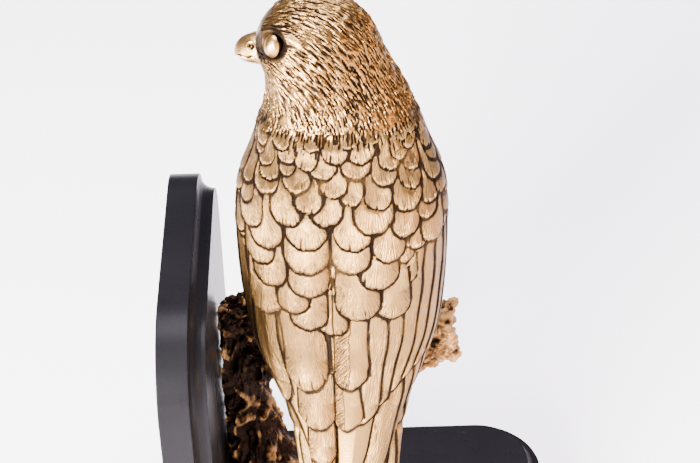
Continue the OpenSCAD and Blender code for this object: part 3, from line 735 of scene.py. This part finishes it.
CAST_GRAIN = 1 / 0.0007  # grain of the investment mould, 0.7 mm
BARB = 1 / 0.45  # barbs are scratched 0.45 mm apart
PATINA_CLOUDS = 1 / 0.012  # the patina thins and thickens over 12 mm

# Cast bronze with a brown patina buffed off the high parts: a pale warm gold that mirrors
# softly, brown-black in its grooves, with fine scratched barbs and small pores
bronze, tree, shader = new_material("buffed_antique_bronze")
coords = add_node(tree, "ShaderNodeTexCoord").outputs["Object"]
hollow = add_node(tree, "ShaderNodeAttribute", attribute_name="hollow").outputs["Fac"]
plume_at = add_node(tree, "ShaderNodeAttribute", attribute_name="plume").outputs["Vector"]
split = add_node(tree, "ShaderNodeSeparateXYZ", {"Vector": plume_at})
lines = add_node(tree, "ShaderNodeMapping", {"Vector": plume_at, "Scale": (BARB, 0.26, 0.0)})
barbs = add_node(tree, "ShaderNodeTexNoise", {"Vector": lines.outputs["Vector"], "Scale": 1.0,
                                              "Detail": 3.0, "Roughness": 0.6})
grain = add_node(tree, "ShaderNodeTexNoise", {"Vector": coords, "Scale": CAST_GRAIN,
                                              "Detail": 5.0, "Roughness": 0.65})
clouds = add_node(tree, "ShaderNodeTexNoise", {"Vector": coords, "Scale": PATINA_CLOUDS,
                                               "Detail": 4.0, "Roughness": 0.6})
# Patina stays in the hollows, in the scratched barbs and in the pores of the casting; the
# attribute read here also carries painted shade under the rims, round the eyes and on the flanks
scratch = add_node(tree, "ShaderNodeMapRange", {"Value": barbs.outputs["Fac"],
                                                "From Min": 0.51, "From Max": 0.68,
                                                "To Max": 0.85})
scratched = add_node(tree, "ShaderNodeMath", {0: scratch.outputs["Result"],
                                              1: split.outputs["Z"]}, operation="MULTIPLY")
pores = add_node(tree, "ShaderNodeMapRange", {"Value": grain.outputs["Fac"], "From Min": 0.60,
                                              "From Max": 0.78, "To Max": 0.40})
stain = add_node(tree, "ShaderNodeMapRange", {"Value": clouds.outputs["Fac"],
                                              "From Min": 0.35, "From Max": 0.75,
                                              "To Min": -0.14, "To Max": 0.34})
ragged = add_node(tree, "ShaderNodeMath", {0: grain.outputs["Fac"], 1: 0.55, 2: hollow},
                  operation="MULTIPLY_ADD")
sunk = add_node(tree, "ShaderNodeMapRange", {"Value": ragged.outputs["Value"],
                                             "From Min": 0.70, "From Max": 1.12})
first = add_node(tree, "ShaderNodeMath", {0: sunk.outputs["Result"],
                                          1: scratched.outputs["Value"]}, operation="MAXIMUM")
second = add_node(tree, "ShaderNodeMath", {0: first.outputs["Value"],
                                           1: pores.outputs["Result"]}, operation="MAXIMUM")
patina = add_node(tree, "ShaderNodeMath", {0: second.outputs["Value"],
                                           1: stain.outputs["Result"]}, operation="ADD",
                  use_clamp=True)
metal = add_node(tree, "ShaderNodeMix", {0: clouds.outputs["Fac"], 6: linear("#6a4b27"),
                                         7: linear("#9a784a")}, data_type="RGBA")
tone = add_node(tree, "ShaderNodeMix", {0: patina.outputs["Value"], 6: metal.outputs[2],
                                        7: linear("#1a120c")}, data_type="RGBA")
tree.links.new(tone.outputs[2], shader.inputs["Base Color"])
shader.inputs["Metallic"].default_value = 1.0
gloss = add_node(tree, "ShaderNodeMapRange", {"Value": patina.outputs["Value"],
                                              "To Min": 0.25, "To Max": 0.55})
haze = add_node(tree, "ShaderNodeMath", {0: clouds.outputs["Fac"], 1: 0.14,
                                         2: gloss.outputs["Result"]}, operation="MULTIPLY_ADD")
tree.links.new(haze.outputs["Value"], shader.inputs["Roughness"])
barb_depth = add_node(tree, "ShaderNodeMath", {0: barbs.outputs["Fac"], 1: split.outputs["Z"]},
                      operation="MULTIPLY")
barb_bump = add_node(tree, "ShaderNodeBump", {"Height": barb_depth.outputs["Value"],
                                              "Strength": 0.9, "Distance": 0.0009})
grain_bump = add_node(tree, "ShaderNodeBump", {"Height": grain.outputs["Fac"],
                                               "Strength": 0.22, "Distance": 0.0004,
                                               "Normal": barb_bump.outputs["Normal"]})
tree.links.new(grain_bump.outputs["Normal"], shader.inputs["Normal"])


def finish_casting(piece, material, slot, *cad_nodes):
    """Gives a piece its finish, parents it to the root body and hides the CAD nodes it stands
    for.
    """
    piece.data.materials.clear()
    piece.data.materials.append(material)
    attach(piece, "root")
    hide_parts(*cad_nodes)


finish_casting(torso, bronze, "antique_bronze", "torso")

# ---------------------------------------------------------------- wings
# Two folded wings, cast apart and pinned on. Tiles cover the shoulder, the secondaries
# end on a slant, and the primaries run on over the root of the tail.
SHEET_THICKNESS = 1.1


def spread(rows, columns, along, around):
    """Values that run along from row to row, and values that run around each row."""
    return (np.linspace(*along, rows + 1)[:, None] + np.zeros(columns + 1),
            np.linspace(*around, columns + 1)[None, :] + np.zeros((rows + 1, 1)))


def folded_wing(name, side, node_name):
    """One wing: a carved sheet given its thickness, meeting the other at the seam."""
    h, share_across = spread(296, 150, (WING_TIP, WING_SHOULDER), (0, 1))
    w = read(WING_ROWS, h)
    # the rear edge lies on the seam instead of the middle of the back
    r = read(FORM_ROWS, h)
    to_seam = 270 + np.degrees(np.arcsin(SEAM / r[..., 2]))
    rear = np.maximum(to_seam, 180) if side > 0 else np.minimum(540 - to_seam, 360)
    rear = rear + (w[..., 1] - 271) * step(61, 73, h)
    angle = rear + (w[..., 2] - rear) * share_across
    if side < 0:
        angle = 540 - angle
    p = across_back(h, angle)
    relief, shade, plume = lay_feathers(p, h, plumage)
    if side < 0:
        relief, shade, plume, p, h, angle, share_across = (
            f[:, ::-1] for f in (relief, shade, plume, p, h, angle, share_across))
    edge = step(0, 0.7, np.abs(p - SEAM))
    relief = relief * neck_strokes(h) - 0.35 * (1 - edge) * step(60, 50, h)
    shade = np.maximum(shade, (1 - step(0.1, 0.5, np.abs(p - SEAM))) * (1 - step(50, 60, h)))
    points = carved(body_point(h, angle, wing_out(h, share_across)), relief, False)
    wing = cast_sheet(name, points, {
        "hollow": hollows(relief, shade, False) + flank_painted_shade(p, h), "plume": plume}, False)
    shell = wing.modifiers.new("sheet_thickness", "SOLIDIFY")
    shell.thickness, shell.offset = SHEET_THICKNESS * MM, -1
    bpy.ops.object.modifier_apply(modifier="sheet_thickness")
    bpy.ops.object.shade_smooth_by_angle(angle=math.radians(75))
    finish_casting(wing, bronze, "antique_bronze", node_name)


folded_wing("folded_wing_right", 1, "wing_right")
folded_wing("folded_wing_left", -1, "wing_left")

# ---------------------------------------------------------------- tail
# Thin casting pinned under the torso's root: twelve long feathers fan out and end in one
# rounded edge. Each is a little raised along its middle, and its barbs run lengthways.
t, angle = spread(150, 240, (0, 1), (90, 450))
# flattened rings crowd at their narrow ends, so the angles are spread by the girth
angle = angle + 22 * np.sin(np.radians(2 * angle)) * (1 - 0.5 * t)
corner = np.abs(np.cos(np.radians(angle)))
h = TAIL_TIP + 0.2 + 3.4 * corner**3 * (1 - t) + (TAIL_ROOT - TAIL_TIP - 0.2) * t
flat = body_point(h, angle)
across = flat[..., 0] - BIRD_X
tail_feathers = []
for k in (-5.5, 5.5, -4.5, 4.5, -3.5, 3.5, -2.5, 2.5, -1.5, 1.5, -0.5, 0.5):
    tail_feathers.append([feather(2.15 * k, TAIL_TIP + 0.1 * k * k, 4.6, 62, 0.018 * k, 0.5,
                                  2.4, bend=200)])
relief, shade, plume = lay_feathers(across, h, tail_feathers)
root_fade = step(TAIL_ROOT, TAIL_ROOT - 3, h)
relief, shade = relief * root_fade, shade * root_fade
tail = cast_sheet("fanned_tail", carved(flat, relief, True), {
    "hollow": hollows(relief, shade, True) + flank_painted_shade(across, h), "plume": plume}, True)
finish_casting(tail, bronze, "antique_bronze", "tail")

# ---------------------------------------------------------------- head
# Hollow casting seated on the neck, turned to the upright. Short wavy strokes are cut
# back from the face over crown and cheek and down the neck, a smooth brow stands over
# each eye, and the eye sits deep in a ring of painted shade inside its lids.
# height, place along X and Y, depth to the face and to the nape, half width
HEAD_ROWS = np.array([
    [80, 0, 9, 23, 23, 17.5], [86, -1.5, 10.5, 20.3, 21.6, 16.8],
    [92, -3.6, 11.5, 18.8, 20.2, 16.4], [98, -5, 12.2, 19.3, 18.8, 15.6],
    [104, -5.4, 12.6, 18, 16.8, 14], [109, -5.6, 13, 14.5, 13.2, 11.2],
    [112.5, -5.7, 13.3, 9, 8, 7], [114, -5.7, 13.5, 2, 2, 2]], float)
FACE_ANGLE, EYE_ANGLE, EYE_H, EYE_D = 168, 53, 104.5, 6
EYE_DROP, EYE_SINK = 0.7, 0.9  # the eye lies this much under its height and inside the skin
FAN_H = 98.5  # the strokes run away from this height on the face
head_draw = np.random.default_rng(5)
STROKES = 5600


def head_point(h, degrees, out=0.0, shrink=1.0):
    """Point of the head at a height and an angle, moved out by out."""
    h, degrees = np.broadcast_arrays(np.asarray(h, float), np.asarray(degrees, float))
    r = read(HEAD_ROWS, h)
    c, s = np.cos(np.radians(degrees)), np.sin(np.radians(degrees))
    reach = np.where(c < 0, r[..., 3], r[..., 4])
    return np.stack([BIRD_X + r[..., 1] + (reach * shrink + out) * c,
                     PERCH_OFFSET + r[..., 2] + (r[..., 5] * shrink + out) * s,
                     PERCH_TOP + h], -1)


profile_h = np.linspace(NECK_SEAM, 114, 400)
profile = head_point(profile_h, 45)
run = np.concatenate([[0], np.cumsum(np.linalg.norm(np.diff(profile, axis=0), axis=1))])
rows, columns = 146, 360
ring_h = np.interp(np.linspace(0, run[-1], rows - 3), run, profile_h)
ring_h = np.concatenate([ring_h, [114.1, 114.2, 114.24, 114.25]])
shrink = np.concatenate([np.ones(rows - 3), [0.72, 0.42, 0.15, 0.0]])
h = ring_h[:, None] + np.zeros(columns + 1)
angle = np.linspace(90, 450, columns + 1)[None, :] + np.zeros((rows + 1, 1))
skull = head_point(np.minimum(h, 114), angle, 0, shrink[:, None])
skull[..., 2] = PERCH_TOP + h
dome = skull[:, :-1]
du = np.roll(dome, -1, 1) - np.roll(dome, 1, 1)
outward = np.cross(du, np.gradient(dome, axis=0))
outward /= np.maximum(np.linalg.norm(outward, axis=-1, keepdims=True), 1e-9)
outward[-5:] = 0, 0, 1
cells, outward = dome.reshape(-1, 3), outward.reshape(-1, 3)
face = head_point(FAN_H, FACE_ANGLE, 1.5)
away = cells - face
far = np.linalg.norm(away, axis=1, keepdims=True)
flow = away / far + np.array([0.1, 0, -1.0]) * np.clip(far / 26 - 0.35, 0, 1.6)
flow -= outward * (flow * outward).sum(1, keepdims=True)
flow /= np.maximum(np.linalg.norm(flow, axis=1, keepdims=True), 1e-9)

# Strokes keep clear of the smooth forehead, the brows, the eyes and the beak's root
eyes = [head_point(EYE_H - EYE_DROP, FACE_ANGLE + side, -EYE_SINK)
        for side in (EYE_ANGLE, -EYE_ANGLE)]
to_eye = np.minimum(*[np.linalg.norm(cells - eye, axis=1) for eye in eyes])
brow = np.full(len(cells), 99.0)
brow_height = np.zeros(len(cells))
# The brow from the face back over the eye: height, and angle away from the face
BROW = [(105.6, 27), (106.3, 35), (107.1, 47), (107.5, 60), (106.9, 74), (105.6, 90),
        (103.6, 108), (101.6, 122)]
for side in (1, -1):
    line_h = np.interp(np.linspace(0, 7, 80), range(8), [b[0] for b in BROW])
    line_a = FACE_ANGLE + side * np.interp(np.linspace(0, 7, 80), range(8),
                                           [b[1] for b in BROW])
    for i, spot in enumerate(head_point(line_h, line_a)):
        apart = np.linalg.norm(cells - spot, axis=1)
        wide = 1.55 * (1 - 0.35 * i / 79)
        tall = 1.6 * min(1, i / 14 + 0.35) * (1 - 0.85 * step(24, 70, i))
        brow_height = np.maximum(brow_height, tall * np.exp(-(apart / wide) ** 2))
        brow = np.minimum(brow, apart + 3 * step(26, 50, i))
calm = step(1.0, 2.4, brow) * step(4.2, 5.0, to_eye) * step(6.5, 9.5, far[:, 0])
forehead = step(11, 19, far[:, 0]) + (cells[:, 2] < PERCH_TOP + 100)
calm *= np.clip(forehead, 0.12, 1)
area = np.linalg.norm(np.roll(cells, -1, 0) - cells, axis=1)
chance = np.clip(calm, 0, 1) * area * (outward[:, 2] > -0.7)
starts = head_draw.choice(len(cells), STROKES, p=chance / chance.sum())
big = head_draw.random(STROKES) < 0.022 * (cells[starts, 2] > PERCH_TOP + 88)
sizes = [(head_draw.uniform(4, 6), 0.36, 0.5) if b else
         (head_draw.uniform(2.2, 4.6), head_draw.uniform(0.14, 0.23),
          head_draw.uniform(0.12, 0.34)) for b in big]
cuts, cut_shade = stroke_cuts(cells, outward, flow, starts, sizes,
                              head_draw.uniform(-1, 1, STROKES))
tufts = np.array([noise.noise(Vector(c) * 0.42) for c in cells]) * 0.35 * calm
socket = -1.5 * step(4.4, 3.3, to_eye)
under_eye = cells[:, 2] < PERCH_TOP + EYE_H
lid = 0.18 * np.exp(-((to_eye - 4.9) / 0.5) ** 2) * np.where(under_eye, 1, 0.3)
# Painted shade: a dark ring round each eye, and a dark patch on the lores between eye and beak
eye_shade = step(5.7, 4.3, to_eye) * 1.3
lores = step(6.0, 2.4, np.minimum(*[np.linalg.norm(cells - head_point(
    101.8, FACE_ANGLE + side), axis=1) for side in (33, -33)])) * 0.95
seam_fade = step(NECK_SEAM, NECK_SEAM + 1.5, cells[:, 2] - PERCH_TOP)
relief = (cuts + tufts) * (0.7 + 0.3 * seam_fade)
# The neck's pins lie close under the skin there, so nothing is cut over them
to_pin = np.min([np.linalg.norm(cells - head_point(81.2, pin), axis=1)
                 for pin in (45, 135, 225, 315)], axis=0)
relief = np.maximum(relief, 0.1 - step(1.6, 3.2, to_pin))
relief = relief + brow_height + socket + lid
shade = np.maximum(np.maximum(cut_shade, eye_shade), lores)


def ringed(values):
    """Values of the head's cells as a grid whose last column repeats the first."""
    grid = values.reshape((rows + 1, columns) + values.shape[1:])
    return np.concatenate([grid, grid[:, :1]], 1)


relief, shade = ringed(relief), ringed(shade)
relief *= np.where(h > 114, step(114.26, 114.1, h), 1)
head_plume = np.stack([ringed(cells @ np.array([0, 0.7, 0.7])), h * 3, h * 0 + 0.1], -1)
skull_points = skull + ringed(outward) * relief[..., None]
skull_points[-1] = skull_points[-1].mean(0)
# Painted shade round the eyes is laid straight into the patina
eye_painted_shade = ringed(np.clip(np.maximum(eye_shade, lores), 0, 1))
head = cast_sheet("stroked_head", skull_points, {
    "hollow": np.maximum(hollows(relief, shade * 0.9, True), 0.3 + 0.8 * eye_painted_shade),
    "plume": head_plume}, True)
finish_casting(head, bronze, "antique_bronze", "head")

# ---------------------------------------------------------------- eyes
# Blank bronze balls let into the sockets, a little taller than they are wide, each with
# the fine line of its third lid. They are polished brighter than the plumage.
POLISH_HAZE = 1 / 0.0011  # a faint haze left by polishing, 1.1 mm across

# The same bronze polished by hand: brighter and smoother, and dark only in its deepest cuts
polished, tree, shader = new_material("polished_bronze")
coords = add_node(tree, "ShaderNodeTexCoord").outputs["Object"]
hollow = add_node(tree, "ShaderNodeAttribute", attribute_name="hollow").outputs["Fac"]
haze = add_node(tree, "ShaderNodeTexNoise", {"Vector": coords, "Scale": POLISH_HAZE,
                                             "Detail": 5.0, "Roughness": 0.6})
stain = add_node(tree, "ShaderNodeMapRange", {"Value": haze.outputs["Fac"],
                                              "From Min": 0.58, "From Max": 0.8,
                                              "To Max": 0.35})
sunk = add_node(tree, "ShaderNodeMapRange", {"Value": hollow, "From Min": 0.5,
                                             "From Max": 0.95})
patina = add_node(tree, "ShaderNodeMath", {0: stain.outputs["Result"],
                                           1: sunk.outputs["Result"]},
                  operation="MAXIMUM", use_clamp=True)
metal = add_node(tree, "ShaderNodeMix", {0: haze.outputs["Fac"], 6: linear("#9c7340"),
                                         7: linear("#bd9865")}, data_type="RGBA")
tone = add_node(tree, "ShaderNodeMix", {0: patina.outputs["Value"], 6: metal.outputs[2],
                                        7: linear("#1a120c")}, data_type="RGBA")
tree.links.new(tone.outputs[2], shader.inputs["Base Color"])
shader.inputs["Metallic"].default_value = 1.0
gloss = add_node(tree, "ShaderNodeMapRange", {"Value": haze.outputs["Fac"],
                                              "To Min": 0.26, "To Max": 0.42})
tree.links.new(gloss.outputs["Result"], shader.inputs["Roughness"])
fine = add_node(tree, "ShaderNodeBump", {"Height": haze.outputs["Fac"], "Strength": 0.25,
                                         "Distance": 0.0003})
tree.links.new(fine.outputs["Normal"], shader.inputs["Normal"])

for name, node_name, side, eye in (("eye_ball_left", "eye_left", 1, eyes[0]),
                                   ("eye_ball_right", "eye_right", -1, eyes[1])):
    out_angle = math.radians(FACE_ANGLE + side * EYE_ANGLE)
    out = np.array([math.cos(out_angle), math.sin(out_angle), 0.18])
    out /= np.linalg.norm(out)
    sideways = np.cross([0, 0, 1], out)
    sideways /= np.linalg.norm(sideways)
    upward = np.cross(out, sideways)
    polar, around = spread(48, 72, (math.pi, 0), (0, 2 * math.pi))
    u, v = np.sin(polar) * np.cos(around), np.sin(polar) * np.sin(around)
    w = np.cos(polar)
    radius = EYE_D / 2 * 1.06 * (1 + 0.07 * np.exp(-((np.hypot(u + 0.12, v + 0.25)) / 0.5) ** 2)
                          - 0.012 * np.exp(-((np.hypot(u + 0.05, v + 0.1) - 0.72) / 0.09) ** 2)
                          ) * np.where(w > 0, 1, 0.9)
    ball = eye + radius[..., None] * (u[..., None] * sideways * 0.94
                                      + v[..., None] * upward * 1.18 + w[..., None] * out * 0.95)
    ring = np.clip(0.3 + 0.3 * np.exp(-((np.hypot(u + 0.05, v + 0.1) - 0.74) / 0.08) ** 2)
                   + step(0.45, 0.1, w), 0, 1)
    piece = cast_sheet(name, ball, {"hollow": ring}, True)
    finish_casting(piece, polished, "antique_bronze", node_name)

# ---------------------------------------------------------------- beak
# Short hooked beak cast in bronze and let into the face: a smooth upper half over a
# smaller lower one, a wavy gape between them, and a ringed nostril on each side.
BEAK_H, BEAK_LENGTH = 96, 7.6
# share of the length, half width, height above and below its middle, droop
BEAK_ROWS = np.array([
    [-0.35, 5.3, 4.9, 5.6, 0], [0, 4.8, 4.5, 5.3, 0], [0.35, 4.3, 4.3, 4.9, 0.2],
    [0.65, 3.5, 3.8, 3.9, 0.7], [0.85, 2.5, 3.0, 2.8, 1.3], [0.96, 1.5, 1.9, 1.8, 1.8],
    [1.02, 0.1, 0.2, 0.2, 2.2]], float)
face_turn = math.radians(FACE_ANGLE)
forward = np.array([math.cos(face_turn), math.sin(face_turn), 0])
beside = np.array([-math.sin(face_turn), math.cos(face_turn), 0])
beak_root = head_point(BEAK_H, FACE_ANGLE) + np.array([0, 0, 0.3])
s, around = spread(90, 112, (BEAK_ROWS[0, 0], BEAK_ROWS[-1, 0]), (0, 2 * np.pi))
r = read(BEAK_ROWS, s)
high = np.where(np.sin(around) > 0, r[..., 2], r[..., 3]) * np.sin(around) - r[..., 4]
horn = (beak_root + forward * (BEAK_LENGTH * s)[..., None]
        + beside * (r[..., 1] * np.cos(around))[..., None]
        + np.array([0, 0, 1.0]) * high[..., None])
level = np.degrees(np.arcsin(np.sin(around)))
gape_level = -13 + 5 * np.sin(s * 11) - 16 * step(0.15, -0.3, s)
off_gape = (level - gape_level) * math.pi / 180 * 4.2 * (1.1 - 0.6 * s)
gape = np.exp(-(off_gape / 0.30) ** 2) * step(0.92, 0.75, s)
lip = np.exp(-((off_gape - 0.75) / 0.35) ** 2) * step(0.92, 0.75, s)
lower = step(-0.1, -0.9, off_gape) * step(0.55, 0.95, s)
nostril = np.hypot((s - 0.2) * BEAK_LENGTH, (level - 36) * math.pi / 180 * 4.3)
hole = np.exp(-(nostril / 0.8) ** 2)
bead = np.exp(-(nostril / 0.28) ** 2)
rim = np.exp(-((nostril - 1.4) / 0.34) ** 2)
relief = (-0.55 * gape + 0.18 * lip - 0.9 * lower - 0.7 * hole + 0.45 * bead + 0.30 * rim)
shade = np.maximum(np.maximum(gape * 0.95, 1.5 * hole * (1 - bead)), step(-0.02, -0.2, s) * 0.6)
beak = cast_sheet("hooked_beak", carved(horn, relief, True), {
    "hollow": np.clip(0.3 + 1.1 * shade, 0, 1)}, True)
finish_casting(beak, polished, "antique_bronze", "beak")

# ---------------------------------------------------------------- legs
# Short feathered thighs, cast with the drooping feathers of the breeches, which widen
# from the ankle into the belly.
LEG_SPACING, FOOT_TOP = 20, 112.8
THIGH = np.array([[0, 3.9], [0.25, 4.5], [0.6, 5.9], [1, 7.4]], float)
for name, node_name, side in (("feathered_leg_left", "leg_left", -1),
                              ("feathered_leg_right", "leg_right", 1)):
    t, around = spread(44, 96, (0, 1), (0, 2 * np.pi))
    wide = read(THIGH, t)[..., 1]
    z = FOOT_TOP + 0.2 + 11.5 * t
    thigh = np.stack([BIRD_X + side * LEG_SPACING / 2 + wide * 0.92 * np.cos(around),
                      PERCH_OFFSET - 2.2 * t**2 + wide * 1.1 * np.sin(around), z], -1)
    droop = []
    for row in range(8):
        for k in range(9):
            droop.append(feather((k + 0.5 * (row % 2)) * 3.7 - 1.8, 10.5 - 1.75 * row, 4.0,
                                 lift=0.36, blunt=1.6))
    relief, shade, plume = lay_feathers(around / (2 * np.pi) * 9 * 3.7 - 1.8, z - FOOT_TOP,
                                        [droop])
    relief[:, -1], shade[:, -1] = relief[:, 0], shade[:, 0]
    leg = cast_sheet(name, carved(thigh, relief, True), {
        "hollow": hollows(relief, shade, True), "plume": plume}, True)
    finish_casting(leg, bronze, "antique_bronze", node_name)

# ---------------------------------------------------------------- feet
# Three toes in front and one behind grip the branch. Each has ringed scutes on top, a
# swollen pad at every joint and a smooth hooked claw that digs into the bark.
TOE_D, FOOT_RADIUS = 3.8, 9.29
for name, node_name, side in (("scaled_foot_left", "foot_left", -1),
                              ("scaled_foot_right", "foot_right", 1)):
    middle = np.array([BIRD_X + side * LEG_SPACING / 2, PERCH_OFFSET, PERCH_HEIGHT])
    digits = []
    for splay, sweep, ahead in ((-1, 100, 1), (0, 104, 1), (1, 100, 1), (0, 72, -1)):
        t, around = spread(110, 28, (0, 1), (0, 2 * np.pi))
        bend = FOOT_RADIUS + TOE_D / 2 - 0.2
        phi = np.radians(sweep) * t
        axis = np.stack([0 * t, bend * np.sin(phi), bend * np.cos(phi)], -1)
        away = np.stack([0 * t, np.sin(phi), np.cos(phi)], -1)
        aside = np.array([1.0, 0, 0])
        length = bend * math.radians(sweep)
        pads = 0.5 + 0.5 * np.cos(2 * np.pi * t * length / 6.4)
        scute = 0.5 + 0.5 * np.cos(2 * np.pi * t * length / 1.5)
        on_top = np.clip(np.sin(around) * 1.6 + 0.3, 0, 1)
        blunt_ends = np.sqrt(np.clip(1.02 - ((t - 0.5) / 0.52) ** 12, 0.02, 1))
        thick = TOE_D / 2 * (1 - 0.18 * t) * blunt_ends
        thick = thick * (0.92 + 0.13 * pads) + 0.16 * (scute**0.6 - 0.6) * on_top
        digit = (axis + aside * (thick * np.cos(around))[..., None]
                 + away * (thick * np.sin(around))[..., None])
        spin = math.radians(-splay * 8)
        turned = np.array([[math.cos(spin), -math.sin(spin), 0],
                           [math.sin(spin), math.cos(spin), 0], [0, 0, 1]])
        flip = np.array([ahead, ahead, 1.0])
        shift = np.array([splay * TOE_D * 0.8, 0, 0])
        shade = np.clip(0.25 + 0.9 * (1 - scute)**2 * on_top, 0, 1)
        digits.append(cast_sheet("digit", middle + shift + (digit @ turned.T) * flip,
                                 {"hollow": shade}, True))
        t, around = spread(30, 24, (0, 1), (0, 2 * np.pi))
        phi = math.radians(sweep - 4) + 0.62 * t
        claw_bend = bend + 0.9 * np.sin(t * 2.6) - 2.0 * t**2
        axis = np.stack([0 * t, claw_bend * np.sin(phi), claw_bend * np.cos(phi)], -1)
        away = np.stack([0 * t, np.sin(phi), np.cos(phi)], -1)
        thick = 1.45 * (1 - t) ** 0.75 + 0.08
        claw = (axis + aside * (thick * 0.82 * np.cos(around))[..., None]
                + away * (thick * 1.1 * np.sin(around))[..., None])
        digits.append(cast_sheet("claw", middle + shift + (claw @ turned.T) * flip,
                                 {"hollow": np.clip(0.55 - t, 0.1, 1)}, True))
    t, around = spread(26, 64, (0, 1), (0, 2 * np.pi))
    scale_rows = 0.5 + 0.5 * np.cos(2 * np.pi * t * 4) * np.cos(6 * around)
    wide = 4.5 - 0.5 * t + 0.16 * scale_rows
    ankle = np.stack([middle[0] + wide * np.cos(around), middle[1] + wide * np.sin(around),
                      PERCH_TOP - 0.8 + (FOOT_TOP - PERCH_TOP + 2.2) * t], -1)
    digits.append(cast_sheet("ankle", ankle, {
        "hollow": np.clip(0.85 - 0.75 * scale_rows, 0, 1)}, True))
    finish_casting(join(name, digits), polished, "antique_bronze", node_name)
